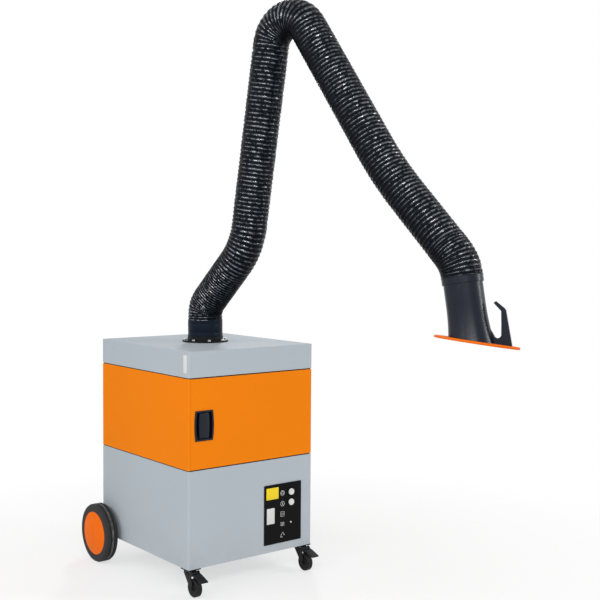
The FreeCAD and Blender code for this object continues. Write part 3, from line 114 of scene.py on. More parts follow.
# Control panel: blank plates and signs, from the left edge of the panel and from the floor
PANEL_THICK = 0.003
BLANK_THICK, BLANK_CORNER, BLANK_BEVEL = 0.0008, 0.0015, 0.0003
BLANKS = (("yellow_plate", "yellow_plate", (0.0105, 0.343), (0.0755, 0.393)),
          ("white_plate", "white_plastic", (0.0135, 0.237), (0.0545, 0.305)))
SIGN_COLUMN, SIGN_SIZE = 0.0975, 0.020
SIGN_HEIGHTS = (0.364, 0.317, 0.272, 0.228, 0.182)
SIGN_LINE, SIGN_THICK, BOLD = 0.0017, 0.0004, 1.6
PANEL_INSET = 0.0065
BUTTON_CROWN = ((0.0128, -0.0002), (0.0122, 0.0005), (0.0106, 0.0007), (0.0098, 0.0003),
                (0.0060, 0.0), (0.0015, -0.0001))

# Studio: name, place, aim, width, height, level and share of it
LAMPS = (("key_strip", (-2.6, -4.3, 3.3), (0.0, -0.5, 1.2), 3.6, 0.40, "key", 1.0),
         ("side_strip", (-4.3, -1.2, 2.7), (0.0, -0.2, 1.1), 3.0, 0.40, "side", 0.7),
         ("left_strip", (-4.0, 1.9, 2.8), (0.0, -0.2, 1.2), 2.6, 0.40, "side", 0.6),
         ("right_box", (3.6, -3.6, 2.6), (0.2, -0.8, 1.3), 0.5, 1.8, "side", 1.0),
         ("rim_strip", (2.2, 2.6, 3.2), (0.1, -0.8, 1.8), 0.4, 1.8, "rim", 1.0))
FLOOR_RADIUS, FLOOR_SEGMENTS, FLOOR_MIDDLE_Y = 5.0, 96, -0.3
CAMERA_PLACE = (-2.532, -3.849, 1.4207)
CAMERA_BACK, CAMERA_RIGHT = (-0.6239, -0.7801, 0.0500), (0.7809, -0.6246, 0.0)
CAMERA_PAN, CAMERA_ROLL = 0.00078, math.radians(0.39)


def paint(name, text, default):
    return FloatVectorProperty(name=name, description=text, subtype="COLOR", size=3,
                               min=0.0, max=1.0, default=default)


def length(name, text, default):
    return FloatProperty(name=name, description=text, subtype="DISTANCE", unit="LENGTH",
                         default=default, precision=4)


def level(name, text, default, **kind):
    return FloatProperty(name=name, description=text, default=default, **kind)


class ExtractorColours(bpy.types.PropertyGroup):
    grey: paint("Grey coat", "Powder coat of base and lid", (0.428, 0.478, 0.518))
    orange: paint("Orange coat", "Powder coat of the filter section", (0.852, 0.216, 0.0038))
    orange_plastic: paint("Orange plastic", "Wheel caps and hood rim", (0.845, 0.150, 0.0030))
    black_plastic: paint("Black plastic", "Hood, clamp and latch", (0.0042, 0.0072, 0.0165))
    hose: paint("Hose skin", "Coated fabric of the hose", (0.0026, 0.0035, 0.0056))
    panel: paint("Panel film", "Film on the control panel", (0.0060, 0.0060, 0.0065))
    tyre: paint("Tyre", "Solid rubber of the rear wheels", (0.025, 0.025, 0.027))
    steel: paint("Zinc", "Plated steel inside and screw heads", (0.560, 0.570, 0.590))
    white: paint("White plastic", "Push buttons and blank plates", (0.680, 0.680, 0.670))
    yellow: paint("Yellow plate", "Blank plate on the panel", (0.860, 0.640, 0.012))
    felt: paint("Filter felt", "Filter pleats and mat", (0.700, 0.690, 0.630))


class HoseSizes(bpy.types.PropertyGroup):
    crest: length("Crest radius", "Radius over the wire ribs", 0.0775)
    sag: length("Sag", "How far the skin falls in between two ribs", 0.0042)
    pucker: length("Pucker", "Depth of the puckers between ribs", 0.0030)
    pitch: length("Rib pitch", "Distance between ribs on the long runs", 0.0176)
    gathered: length("Gathered pitch", "Distance between ribs where the hose is pushed up", 0.0120)
    cuff: length("Cuff", "Smooth cuff on the swivel", 0.072)
    sides: IntProperty(name="Sides", description="Points round the hose", default=132, min=32)


class StageLevels(bpy.types.PropertyGroup):
    surround: level("Surround", "Light from all round", 0.42, subtype="FACTOR")
    key: level("Key", "Strip beside the camera, watts", 132.0, unit="POWER")
    side: level("Side", "Lamps to the left and right, watts", 66.0, unit="POWER")
    rim: level("Rim", "Strip behind the arm, watts", 60.0, unit="POWER")
    focal: level("Lens", "Focal length, millimetres", 61.614, unit="CAMERA")


class Flow:
    """One value in a node tree. Sums and products on it add the nodes that work them out."""

    def __init__(self, owner, socket):
        self.owner, self.socket = owner, socket

    def maths(self, operation, *values, clamp=False):
        return self.owner.node("ShaderNodeMath", {"operation": operation, "use_clamp": clamp},
                               dict(enumerate(values)))

    def __add__(self, other):
        return self.maths("ADD", self, other)

    def __sub__(self, other):
        return self.maths("SUBTRACT", self, other)

    def __rsub__(self, other):
        return self.maths("SUBTRACT", other, self)

    def __mul__(self, other):
        return self.maths("MULTIPLY", self, other)

    def __pow__(self, other):
        return self.maths("POWER", self, other)

    def __abs__(self):
        return self.maths("ABSOLUTE", self)

    def most(self, other):
        return self.maths("MAXIMUM", self, other)

    def held(self):
        return self.maths("ADD", self, 0.0, clamp=True)

    def sine(self):
        return self.maths("SINE", self)

    __radd__ = __add__
    __rmul__ = __mul__


class Formulas:
    """A node tree that is written as formulas."""

    def __init__(self, tree):
        self.tree = tree
        tree.nodes.clear()

    def feed(self, socket, value):
        if isinstance(value, Flow):
            self.tree.links.new(value.socket, socket)
        elif isinstance(value, (int, float)):
            socket.default_value = value
        else:
            size = len(socket.default_value)
            socket.default_value = (list(value) + [1.0])[:size]

    def add(self, kind, settings=None, values=None):
        """A new node; its settings are set first, then the values or links of its sockets."""
        made = self.tree.nodes.new(kind)
        for name, setting in (settings or {}).items():
            if name == "stops":
                ramp = made.color_ramp.elements
                while len(ramp) < len(setting):
                    ramp.new(0.5)
                for stop, (position, grey) in zip(ramp, setting):
                    stop.position = position
                    stop.color = (grey, grey, grey, 1.0)
            else:
                setattr(made, name, setting)
        for name, value in (values or {}).items():
            self.feed(made.inputs[name], value)
        return made

    def node(self, kind, settings=None, values=None, out=0):
        """What a new node gives out."""
        return Flow(self, self.add(kind, settings, values).outputs[out])

    def place(self):
        return self.node("ShaderNodeTexCoord", out="Object")

    def axes(self):
        place = self.place()
        return [self.node("ShaderNodeSeparateXYZ", values={0: place}, out=i) for i in range(3)]

    def stretched(self, scales):
        return self.node("ShaderNodeVectorMath", {"operation": "MULTIPLY"},
                         {0: self.place(), 1: scales})

    def grain(self, scale, detail=3.0, rough=0.5, where=None, bend=0.0):
        return self.node("ShaderNodeTexNoise", None,
                         {"Vector": where or self.place(), "Scale": scale, "Detail": detail,
                          "Roughness": rough, "Distortion": bend})

    def cells(self, scale, where=None):
        return self.node("ShaderNodeTexVoronoi", None,
                         {"Vector": where or self.place(), "Scale": scale})

    def ramp(self, value, *stops):
        return self.node("ShaderNodeValToRGB", {"stops": stops}, {0: value})

    def mix(self, factor, first, second):
        return self.node("ShaderNodeMix", {"data_type": "RGBA"},
                         {0: factor, 6: first, 7: second}, out=2)

    def bump(self, height, depth, strength):
        return self.node("ShaderNodeBump", None,
                         {"Height": height, "Distance": depth, "Strength": strength})


class Finish(Formulas):
    """A material made of nodes on one shader."""

    def __init__(self, name, **constants):
        self.material = bpy.data.materials.new(name)
        self.material.use_nodes = True
        super().__init__(self.material.node_tree)
        values = {socket.replace("_", " "): value for socket, value in constants.items()}
        self.shader = self.add("ShaderNodeBsdfPrincipled", values=values)
        self.bare = Flow(self, self.shader.outputs[0])
        self.out = self.add("ShaderNodeOutputMaterial", values={"Surface": self.bare})

    def surface(self, colour, rough, normal=None, **others):
        for socket, value in (("Base Color", colour), ("Roughness", rough), ("Normal", normal),
                              *((n.replace("_", " "), v) for n, v in others.items())):
            if value is not None:
                self.feed(self.shader.inputs[socket], value)
        return self.material


def shade(colour, share):
    return tuple(min(1.0, part * share) for part in colour)


def powder_coat(name, colour, scuffs):
    """Powder coat: faint orange peel, slow drift of tone, rubbed upright edges, dust low down."""
    edge_per_metre, dust_per_metre = 300.0, 6.0
    f = Finish(name, Specular_IOR_Level=0.06)
    x, y, z = f.axes()
    drift = f.grain(2.3, detail=2.0)
    fine = f.grain(950.0, detail=2.0)
    peel = f.grain(330.0)
    gap = (BASE_HIGH.x - abs(x)).most(BASE_HIGH.y - abs(y))
    rubs = f.ramp(f.grain(26.0, detail=5.0, rough=0.65), (0.50, 0.0), (0.66, 1.0))
    worn = f.ramp(gap * edge_per_metre, (0.0, 1.0), (0.75, 0.35), (1.0, 0.0)) * rubs * scuffs
    low = f.ramp((z - BASE_LOW.z) * dust_per_metre, (0.0, 1.0), (0.9, 0.0))
    dust = low * f.ramp(f.grain(11.0, detail=6.0, rough=0.6), (0.40, 0.0), (0.75, 1.0)) * 0.22
    tone = f.mix(drift, shade(colour, 0.955), shade(colour, 1.045))
    tone = f.mix((fine * 0.10).held(), tone, shade(colour, 1.25))
    tone = f.mix(dust, tone, COAT_DUST)
    tone = f.mix(worn * 0.55, tone, shade(colour, 1.30))
    rough = 0.58 + drift * 0.08 + dust * 0.4 + fine * 0.05
    return f.surface(tone, rough, f.bump(peel * 0.7 + fine * 0.3, depth=0.00035, strength=0.35))


def moulded(name, colour, rough, specular, texture, depth=0.00018):
    """Moulded plastic with a fine spark-eroded skin and slow flow marks."""
    f = Finish(name, Specular_IOR_Level=specular)
    skin = f.cells(texture)
    flow = f.grain(9.0, where=f.stretched((1.0, 1.0, 0.35)), bend=0.6)
    rubs = f.ramp(f.grain(70.0, detail=6.0, rough=0.7), (0.58, 0.0), (0.72, 1.0))
    tone = f.mix(flow, shade(colour, 0.86), shade(colour, 1.14))
    tone = f.mix(rubs * 0.14, tone, tuple(part + 0.02 for part in colour))
    return f.surface(tone, rough + flow * 0.10 + rubs * 0.08 - 0.05,
                     f.bump(skin + flow * 0.4, depth, strength=0.5))


def hose_skin(name, colour):
    """PVC-coated fabric: weave under the coating, creases, and rib crests that shine with a coat on
    the side the light falls on, with a painted sheen in their colour.
    """
    f = Finish(name, Specular_IOR_Level=0.05, Specular_Tint=(0.76, 0.88, 1.0, 1.0),
               Coat_Roughness=0.16, Coat_IOR=2.5)
    crease = f.grain(120.0, detail=5.0, rough=0.62, bend=1.6)
    folds = f.cells(72.0, f.stretched((1.0, 1.0, 1.6)))
    weave = f.grain(1500.0, detail=2.0)
    blotch = f.grain(14.0)
    streak = f.ramp(f.grain(58.0, detail=5.0, rough=0.65), (0.43, 0.0), (0.60, 1.0))
    crest = f.node("ShaderNodeAttribute", {"attribute_name": "rib"}, out="Fac")
    shine = f.ramp(crest, (0.15, 0.0), (0.85, 1.0)) * (streak * 0.95 + 0.05)
    tone = f.mix(blotch, shade(colour, 0.75), shade(colour, 1.35))
    # Painted sheen: crests on the lit side take a lighter, bluer colour
    tone = f.mix(shine * 0.6, tone, RIB_SHEEN)
    # Painted sheen: the cuff takes a lighter, bluer colour
    tone = f.mix((crest * -0.8).held(), tone, CUFF_SHEEN)
    rough = 0.24 + blotch * 0.06 + f.ramp(crease, (0.35, 0.0), (0.7, 0.08)) - shine * 0.05
    height = crease * 0.75 + folds * 0.45 + weave * 0.06
    return f.surface(tone, rough, f.bump(height, depth=0.00035, strength=0.7), Coat_Weight=shine)


def rubber(name, colour, rough, dusty):
    """Solid rubber with a fine matt skin and dust in its low places."""
    f = Finish(name, Specular_IOR_Level=0.16)
    skin = f.grain(700.0)
    patch = f.grain(24.0, detail=5.0, rough=0.6)
    dust = f.ramp(patch, (0.45, 0.0), (0.80, 1.0)) * dusty
    tone = f.mix(patch, shade(colour, 0.8), shade(colour, 1.25))
    tone = f.mix(dust, tone, RUBBER_DUST)
    return f.surface(tone, rough + dust * 0.3 + skin * 0.08 - 0.04,
                     f.bump(skin, depth=0.0003, strength=0.5))


def tyre_rubber(name, colour):
    """Tyre skin: turned lines on the sidewall, dusty tread, and a painted highlight on the lips of
    its middle groove.
    """
    shoulder, tread_per_metre = 0.122, 125.0
    line_per_metre, lip_per_metre = 1450.0, 200.0
    f = Finish(name, Specular_IOR_Level=0.16)
    x, y, z = f.axes()
    hub = sum(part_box("tyre_right"), Vector()) / 2
    far = ((y - hub.y) ** 2.0 + (z - hub.z) ** 2.0) ** 0.5
    lines = (far * line_per_metre).sine() * 0.5 + 0.5
    skin = f.grain(520.0, detail=4.0)
    patch = f.grain(16.0, detail=5.0, rough=0.6)
    dust = f.ramp(patch, (0.40, 0.0), (0.75, 1.0)) * 0.30
    tread = f.ramp((far - shoulder) * tread_per_metre, (0.0, 0.0), (1.0, 1.0))
    off = abs(abs(x) - hub.x)
    # Painted highlight: a light band on both lips of the middle groove, broken up by noise
    lip = f.ramp(off * lip_per_metre, (0.34, 0.0), (0.42, 1.0), (0.66, 1.0), (0.78, 0.0)) * tread
    lip = lip * f.ramp(f.grain(46.0, detail=4.0, rough=0.6), (0.35, 0.25), (0.60, 1.0))
    tone = f.mix(patch, shade(colour, 0.8), shade(colour, 1.3))
    tone = f.mix((dust * 0.7 + tread * patch * 0.12).held(), tone, TYRE_DUST)
    tone = f.mix(lip * 0.85, tone, GROOVE_LIP_HIGHLIGHT)
    return f.surface(tone, 0.60 + dust * 0.4 + skin * 0.1,
                     f.bump(lines * 0.5 + skin, depth=0.0004, strength=0.5))


def plated(name, colour, rough=0.30, brushed=(60.0, 60.0, 900.0)):
    """Plated steel with fine drawn lines and a cloudy passivated tone."""
    f = Finish(name)
    lines = f.grain(1.0, rough=0.6, where=f.stretched(brushed))
    cloud = f.grain(18.0, detail=4.0, rough=0.6)
    spots = f.ramp(f.grain(130.0, detail=5.0, rough=0.7), (0.62, 0.0), (0.74, 1.0))
    tone = f.mix(cloud, shade(colour, 0.82), shade(colour, 1.08))
    tone = f.mix(spots * 0.3, tone, shade(colour, 0.55))
    return f.surface(tone, rough + lines * 0.14 + spots * 0.15,
                     f.bump(lines, depth=0.0001, strength=0.35), Metallic=1.0 - spots * 0.3)


def cast_metal(name, colour):
    """Sand-cast aluminium with a grainy skin."""
    f = Finish(name)
    grit = f.grain(420.0, detail=4.0, rough=0.65)
    cloud = f.grain(22.0, detail=4.0)
    tone = f.mix(cloud, shade(colour, 0.7), shade(colour, 0.95))
    return f.surface(tone, 0.48 + grit * 0.2, f.bump(grit, depth=0.0005, strength=0.6),
                     Metallic=0.85 + cloud * 0.1)


def felt(name, colour):
    """Needled filter felt: fibres in all directions and grey dust from the air side."""
    f = Finish(name, Sheen_Weight=0.25)
    fibre = f.grain(900.0, detail=5.0, rough=0.75, bend=2.5)
    clump = f.grain(60.0, detail=4.0, rough=0.6)
    tone = f.mix(clump, shade(colour, 0.80), shade(colour, 1.05))
    tone = f.mix(f.ramp(fibre, (0.45, 0.0), (0.7, 0.4)), tone, shade(colour, 0.55))
    return f.surface(tone, 0.85 + fibre * 0.1, f.bump(fibre + clump, depth=0.0012, strength=0.8))


def gloss(name, colour, rough, glow=0.0, specular=0.30):
    """Glossy plastic or printed film with faint handling marks."""
    f = Finish(name, Specular_IOR_Level=specular, Emission_Strength=glow)
    marks = f.grain(48.0, detail=6.0, rough=0.7)
    wave = f.grain(7.0, detail=2.0)
    tone = f.mix(wave, shade(colour, 0.93), shade(colour, 1.06))
    return f.surface(tone, rough + marks * 0.16, f.bump(marks, depth=0.00008, strength=0.4),
                     Emission_Color=colour if glow else None)


FINISHES = {}


def finish(name):
    """The finish of that name, made the first time it is asked for."""
    if name not in FINISHES:
        c = bpy.context.scene.extractor_colours
        makers = {
            "grey_coat": lambda: powder_coat(name, c.grey, scuffs=1.0),
            "orange_coat": lambda: powder_coat(name, c.orange, scuffs=0.8),
            "satin_black": lambda: moulded(
                name, SATIN_BLACK, rough=0.38, specular=0.13, texture=480.0),
            "hood_black": lambda: moulded(
                name, c.black_plastic, rough=0.31, specular=0.21, texture=760.0, depth=0.00012),
            "latch_black": lambda: moulded(name, shade(c.black_plastic, 0.9), rough=0.27,
                                           specular=0.26, texture=900.0, depth=0.00010),
            "rim_black": lambda: moulded(name, RIM_BLACK, rough=0.46, specular=0.20, texture=420.0),
            "orange_plastic": lambda: moulded(
                name, c.orange_plastic, rough=0.50, specular=0.06, texture=520.0),
            "hose_skin": lambda: hose_skin(name, c.hose),
            "seal_rubber": lambda: rubber(name, SEAL_BLACK, rough=0.62, dusty=0.10),
            "caster_rubber": lambda: rubber(name, CASTER_BLACK, rough=0.52, dusty=0.10),
            "tyre_rubber": lambda: tyre_rubber(name, c.tyre),
            "zinc": lambda: plated(name, c.steel),
            "bright_bolt": lambda: plated(name, BOLT_STEEL, rough=0.22, brushed=(700.0,) * 3),
            "cast": lambda: cast_metal(name, c.steel),
            "felt": lambda: felt(name, c.felt),
            "panel_film": lambda: gloss(name, c.panel, rough=0.45, specular=0.05),
            "white_plastic": lambda: gloss(name, c.white, rough=0.30),
            "yellow_plate": lambda: gloss(name, c.yellow, rough=0.34),
            "lamp_lens": lambda: gloss(name, LENS_TONE, rough=0.15, glow=0.12),
            "ink": lambda: gloss(name, INK_TONE, rough=0.45),
        }
        FINISHES[name] = makers[name]()
    return FINISHES[name]


def dress(material, *nodes):
    """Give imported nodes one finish."""
    for node in nodes:
        mesh = NODES[node].data
        mesh.materials.clear()
        mesh.materials.append(finish(material))


def placed(name, mesh, material, smooth, crisp_over):
    """A mesh as a new object with one finish; edges over the angle in degrees stay crisp."""
    mesh.polygons.foreach_set("use_smooth", [smooth] * len(mesh.polygons))
    if crisp_over:
        mesh.set_sharp_from_angle(angle=math.radians(crisp_over))
    mesh.materials.append(finish(material))
    made = bpy.data.objects.new(name, mesh)
    bpy.context.scene.collection.objects.link(made)
    return made


def piece(name, points, faces, material, crisp_over=None):
    """A new smooth piece from points and faces."""
    mesh = bpy.data.meshes.new(name)
    mesh.from_pydata([tuple(p) for p in points], [], faces)
    mesh.validate()
    return placed(name, mesh, material, True, crisp_over)


def from_bmesh(name, shape, material, crisp_over=None):
    """A new piece from a bmesh, flat unless an angle for crisp edges is given."""
    bmesh.ops.recalc_face_normals(shape, faces=shape.faces)
    mesh = bpy.data.meshes.new(name)
    shape.to_mesh(mesh)
    shape.free()
    return placed(name, mesh, material, bool(crisp_over), crisp_over)


def middle_of(low, high, y):
    """Point in the middle of a box seen from the front, at depth y."""
    return ((low.x + high.x) / 2, y, (low.z + high.z) / 2)


def facing(outward):
    """Turn that brings +Z to a direction."""
    return Vector((0, 0, 1)).rotation_difference(Vector(outward)).to_matrix()


def quads(rows, count, closed=True):
    """Faces between rows of count points each; closed rows are rings."""
    return [(a + i, a + (i + 1) % count, a + count + (i + 1) % count, a + count + i)
            for a in range(0, (rows - 1) * count, count)
            for i in range(count if closed else count - 1)]


def turned(profile, sides, hexagon=()):
    """Points and faces of a profile of (radius, height) turned about Z; rows in hexagon are
    six-sided, and the last row is closed with a flat face."""
    points = []
    for row, (radius, height) in enumerate(profile):
        for i in range(sides):
            angle = 2 * math.pi * i / sides
            reach = radius
            if row in hexagon:
                reach = radius / math.cos((angle + math.pi / 6) % (math.pi / 3) - math.pi / 6)
            points.append(Vector((reach * math.cos(angle), reach * math.sin(angle), height)))
    top = tuple(range((len(profile) - 1) * sides, len(profile) * sides))
    return points, quads(len(profile), sides) + [top]


def heads(name, places, outward, size, material, socket=True):
    """Round-headed screws on a surface, all facing one way, joined in one piece."""
    radius, height = size
    shares = HEAD_SHARES + (SOCKET_SHARES if socket else ())
    profile = [(radius, -HEAD_SINK)] + [(radius * wide, height * tall) for wide, tall in shares]
    one, sides = turned(profile, 24, range(1 + len(HEAD_SHARES), len(profile)))
    turn = facing(outward)
    points, faces = [], []
    for place in places:
        first = len(points)
        points += [turn @ p + Vector(place) for p in one]
        faces += [tuple(first + i for i in face) for face in sides]
    return piece(name, points, faces, material, crisp_over=40)


def block(low, high):
    """A bmesh block between two corners."""
    shape = bmesh.new()
    bmesh.ops.create_cube(shape, size=1.0)
    for v in shape.verts:
        v.co = Vector(far if part > 0 else near for part, near, far in zip(v.co, low, high))
    return shape


def bevelled(shape, edges, offset, segments, profile=0.5):
    bmesh.ops.bevel(shape, geom=edges, offset=offset, segments=segments, affect="EDGES",
                    profile=profile)


def plate(name, low, high, material, corner, bevel):
    """A thin plate with rounded corners in the XZ plane and softened front edges."""
    low, high = Vector(low), Vector(high)
    shape = block(low, high)
    deep = [e for e in shape.edges if abs((e.verts[0].co - e.verts[1].co).y) > 1e-6]
    bevelled(shape, deep, corner, segments=5)
    front = [e for e in shape.edges if all(abs(v.co.y - low.y) < 1e-7 for v in e.verts)]
    bevelled(shape, front, bevel, segments=2)
    return from_bmesh(name, shape, material, crisp_over=30)


class Duct:
    """Centre line of the hose: straight legs joined by arcs in one upright plane of the arm."""

    runs = (0.159, 0.367, 1.133, 1.0047, 0.470, 0.051)  # legs from corner to corner
    leans = (0.0, 44.5, 9.25, 145.5, 136.35, 170.0)  # degrees off the vertical
    radii = (0.090, 0.300, 0.112, 1.500, 0.160)  # of the arcs at the corners
    azimuth = math.radians(-80.0)
    step = 0.0005
    seat = 0.0263  # station on the swivel where the skin starts
    lap = 0.030  # from the shoulder bend to the pushed-up skin below and to the cut above
    tuck = 0.045  # from the wrist bend back to the pushed-up skin and the cut
    leg = 0.200  # of each long run that belongs to the piece at the elbow

    def __init__(self):
        turns = [math.radians(b - a) for a, b in zip(self.leans, self.leans[1:])]
        trims = [0.0] + [r * math.tan(abs(t) / 2) for r, t in zip(self.radii, turns)] + [0.0]
        knots, leans, self.bends = [0.0], [self.leans[0]], []
        for i, run in enumerate(self.runs):
            knots.append(knots[-1] + run - trims[i] - trims[i + 1])
            leans.append(self.leans[i])
            if i < len(turns):
                self.bends.append((knots[-1], knots[-1] + self.radii[i] * abs(turns[i])))
                knots.append(self.bends[-1][1])
                leans.append(self.leans[i + 1])
        self.end = knots[-1]
        self.knots, self.knot_leans = knots, np.radians(leans)
        self.s = np.arange(0.0, self.end + 2 * self.step, self.step)
        middle = np.interp(self.s[:-1] + self.step / 2, knots, self.knot_leans)
        self.x = np.concatenate([[0.0], np.cumsum(np.sin(middle)) * self.step])
        self.z = np.concatenate([[0.0], np.cumsum(np.cos(middle)) * self.step]) + LID_HIGH.z

    def lean(self, s):
        return np.interp(s, self.knots, self.knot_leans)

    def turned(self, x, y, z):
        c, d = math.cos(self.azimuth), math.sin(self.azimuth)
        return np.stack([c * x - d * y, d * x + c * y, z], axis=-1)

    def centre(self, s):
        s = np.asarray(s, float)
        return self.turned(np.interp(s, self.s, self.x), 0.0 * s, np.interp(s, self.s, self.z))

    def ring(self, s, angles, reach):
        """Points round the line at station s; angle 0 is on the side under the arch."""
        lean = self.lean(s)
        cx, cz = np.interp(s, self.s, self.x), np.interp(s, self.s, self.z)
        out, side = reach * np.cos(angles), reach * np.sin(angles)
        return self.turned(cx + out * np.cos(lean), side, cz - out * np.sin(lean))


def rib_stations(duct, sizes):
    """Stations of all wire ribs, closer where the hose is pushed up."""
    start = duct.seat + sizes.cuff
    loose, tight = duct.bends[1][0] - duct.lap, duct.bends[4][0] - duct.tuck
    legs = ((start, loose, sizes.gathered), (loose, tight, sizes.pitch),
            (tight, duct.end, sizes.gathered))
    stations = []
    for low, high, pitch in legs:
        count = max(2, round((high - low) / pitch))
        stations += list(np.linspace(low, high, count, endpoint=False))
    return np.array(stations + [duct.end])


def hose_rows(duct, sizes):
    """Rows of the whole skin as (station, sag share, rib number)."""
    rows = [(duct.seat + share * sizes.cuff, -1.0 if share in CUFF_GROOVES else 0.0, CUFF_ROW)
            for share in CUFF_SHARES]
    stations = rib_stations(duct, sizes)
    for k in range(len(stations) - 1):
        gap = stations[k + 1] - stations[k]
        rows += [(stations[k] + share * gap, sag, k) for share, sag in SAG_SHARES]
    rows.append((duct.end, 0.0, len(stations)))
    return rows


def ripple(angles, waves, along):
    """Noise round a row: more waves make it busier, and along tells the rows apart."""
    return np.array([noise.noise((math.cos(a) * waves, math.sin(a) * waves, along))
                     for a in angles])


def hose_reach(sizes, angles, station, sag, rib):
    """Radius round one row: the skin falls in between ribs and puckers along the hose."""
    if rib == CUFF_ROW:
        soft = ripple(angles, 2.2, station * 30)
        return sizes.crest - RIB_SINK + CUFF_WAVE * soft + (-GROOVE_DEPTH if sag else 0.0)
    long_wave = ripple(angles, 4.2, rib * 0.43)
    creases = ripple(angles, 6.2, rib * 1.3)
    kinks = ripple(angles, 3.0, rib * 2.7 + 40)
    fall = sizes.sag * (0.85 + 0.30 * long_wave) + sizes.pucker * np.clip(creases, -0.45, 1.0)
    return sizes.crest - RIB_SINK * (1 - sag) * (1 + kinks) - sag * fall


def sheen_side(duct, angles, station):
    """How strongly the crests of a row carry the shine and painted sheen, on the side the light
    falls on: ahead on the rising leg, above on the falling one.
    """
    peak = np.interp(station, (duct.bends[0][1], duct.bends[1][1], *duct.bends[2]), SHEEN_PEAKS)
    fold = np.degrees(np.minimum(angles, 2 * math.pi - angles))
    return SHEEN_LEAST + (1.0 - SHEEN_LEAST) * np.exp(-((fold - peak) / SHEEN_WIDTH) ** 2)


def hose_piece(name, duct, sizes, rows):
    """One stretch of the skin; its attribute rib is 1 on a crest on the side that carries the shine
    and painted sheen, and -1 on the cuff.
    """
    count = sizes.sides
    angles = np.linspace(0.0, 2 * math.pi, count, endpoint=False)
    points, crest = [], []
    for station, sag, rib in rows:
        twisted = angles + TWIST * math.sin(rib * TWIST_STEP)
        points.append(duct.ring(station, twisted, hose_reach(sizes, angles, station, sag, rib)))
        crest.append(np.full(count, -1.0) if rib == CUFF_ROW
                     else (1.0 - abs(sag)) * sheen_side(duct, angles, station))
    faces = [(a, d, c, b) for a, b, c, d in quads(len(rows), count)]
    made = piece(name, np.concatenate(points), faces, "hose_skin")
    values = np.concatenate(crest).astype(np.float32)
    made.data.attributes.new("rib", "FLOAT", "POINT").data.foreach_set("value", values)
    return made


class EXTRACTOR_OT_hose(bpy.types.Operator):
    """Ribbed, puckered skin of the hose over the whole arm"""
    bl_idname = "extractor.hose"
    bl_label = "Hose"

    def execute(self, context):
        sizes = context.scene.extractor_hose
        duct = Duct()
        rows = hose_rows(duct, sizes)
        shoulder, elbow, wrist = duct.bends[1], duct.bends[2], duct.bends[4]
        cuts = [0.0, shoulder[1] + duct.lap, elbow[0] - duct.leg, elbow[1] + duct.leg,
                wrist[0] - duct.tuck, duct.end + 1.0]
        names = ("hose_foot", "hose_rise", "hose_bow", "hose_fall", "hose_tail")
        nodes = (("hose_base", "hose_shoulder"), ("hose_lower",), ("hose_elbow",), ("hose_upper",),
                 ("hose_wrist",))
        stations = np.array([row[0] for row in rows])
        made = {}
        for i, name in enumerate(names):
            first = int(np.searchsorted(stations, cuts[i] - 1e-9))
            last = int(np.searchsorted(stations, cuts[i + 1] - 1e-9))
            made[name] = hose_piece(name, duct, sizes, rows[first:last + 1])
            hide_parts(*nodes[i])
        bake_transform(made["hose_foot"], "arm_base", "lower_arm",
                 duct.centre(shoulder[0] - 0.030), duct.centre(shoulder[1] - 0.010))
        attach(made["hose_rise"], "lower_arm")
        low, high = Vector(duct.centre(elbow[0])), Vector(duct.centre(elbow[1]))
        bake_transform(made["hose_bow"])
        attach(made["hose_fall"], "upper_arm")
        low, high = Vector(duct.centre(wrist[0] - duct.tuck)), Vector(duct.centre(duct.end))
        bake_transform(made["hose_tail"])
        return {"FINISHED"}


class EXTRACTOR_OT_cabinet(bpy.types.Operator):
    """Powder coat on the three sections, seals, hinges, screws at the rear, plate on the lid"""
    bl_idname = "extractor.cabinet"
    bl_label = "Cabinet"

    def execute(self, context):
        dress("grey_coat", "base_cabinet", "top_cover", "outlet_grille", "control_box")
        dress("orange_coat", "filter_housing", "door_panel")
        dress("seal_rubber", "section_seals", "door_gasket")
        dress("satin_black", "door_knuckles", "hinge_leaves", "cable_gland")
        low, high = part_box("outlet_grille")
        inset = 0.010
        rear = [(x, high.y, z) for x in (low.x + inset, (low.x + high.x) / 2, high.x - inset)
                for z in (low.z + inset, high.z - inset)]
        grille_screws = heads("grille_screws", rear, REAR, GRILLE_SCREW, "zinc")
        lid_spacing, lid_up = (-0.26, -0.09, 0.09, 0.26), 0.030
        lid = [(x, LID_HIGH.y, LID_LOW.z + lid_up) for x in lid_spacing]
        lid_screws = heads("lid_screws", lid, REAR, LID_SCREW, "zinc")
        for made in (grille_screws, lid_screws):
            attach(made, "cabinet")
        width, thick, bottom, top, from_front = 0.026, 0.0007, 0.018, 0.092, 0.014
        strip = plate("lid_plate", (-width, -thick, bottom), (0.0, 0.0, top), "white_plastic",
                      corner=0.002, bevel=0.0002)
        strip.matrix_world = (Matrix.Translation((LID_LOW.x, LID_LOW.y + from_front, LID_LOW.z))
                              @ Matrix.Rotation(math.radians(-90), 4, "Z"))
        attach(strip, "cabinet")
        return {"FINISHED"}


def ribbon(shape, points, width, face):
    """A raised line along points of (x, z) on a face towards -Y, in a bmesh."""
    spots = [Vector((x, face, z)) for x, z in points]
    closed = (spots[0] - spots[-1]).length < 1e-9
    count = len(spots)
    left, right = [], []
    for i, spot in enumerate(spots):
        before = spots[i - 1] if i else (spots[-2] if closed else spot)
        after = spots[i + 1] if i < count - 1 else (spots[1] if closed else spot)
        along = (after - before).normalized()
        aside = Vector((-along.z, 0.0, along.x)) * width / 2
        left.append(spot + aside)
        right.append(spot - aside)
    lift = Vector((0.0, -SIGN_THICK, 0.0))
    for i in range(count - 1):
        quad = (left[i], left[i + 1], right[i + 1], right[i])
        bottom = [shape.verts.new(p) for p in quad]
        top = [shape.verts.new(p + lift) for p in quad]
        shape.faces.new(top)
        for a in range(4):
            b = (a + 1) % 4
            shape.faces.new((bottom[a], bottom[b], top[b], top[a]))


def arc(x, z, radius, start, end, steps):
    angles = [math.radians(start + (end - start) * i / steps) for i in range(steps + 1)]
    return [(x + radius * math.cos(a), z + radius * math.sin(a)) for a in angles]


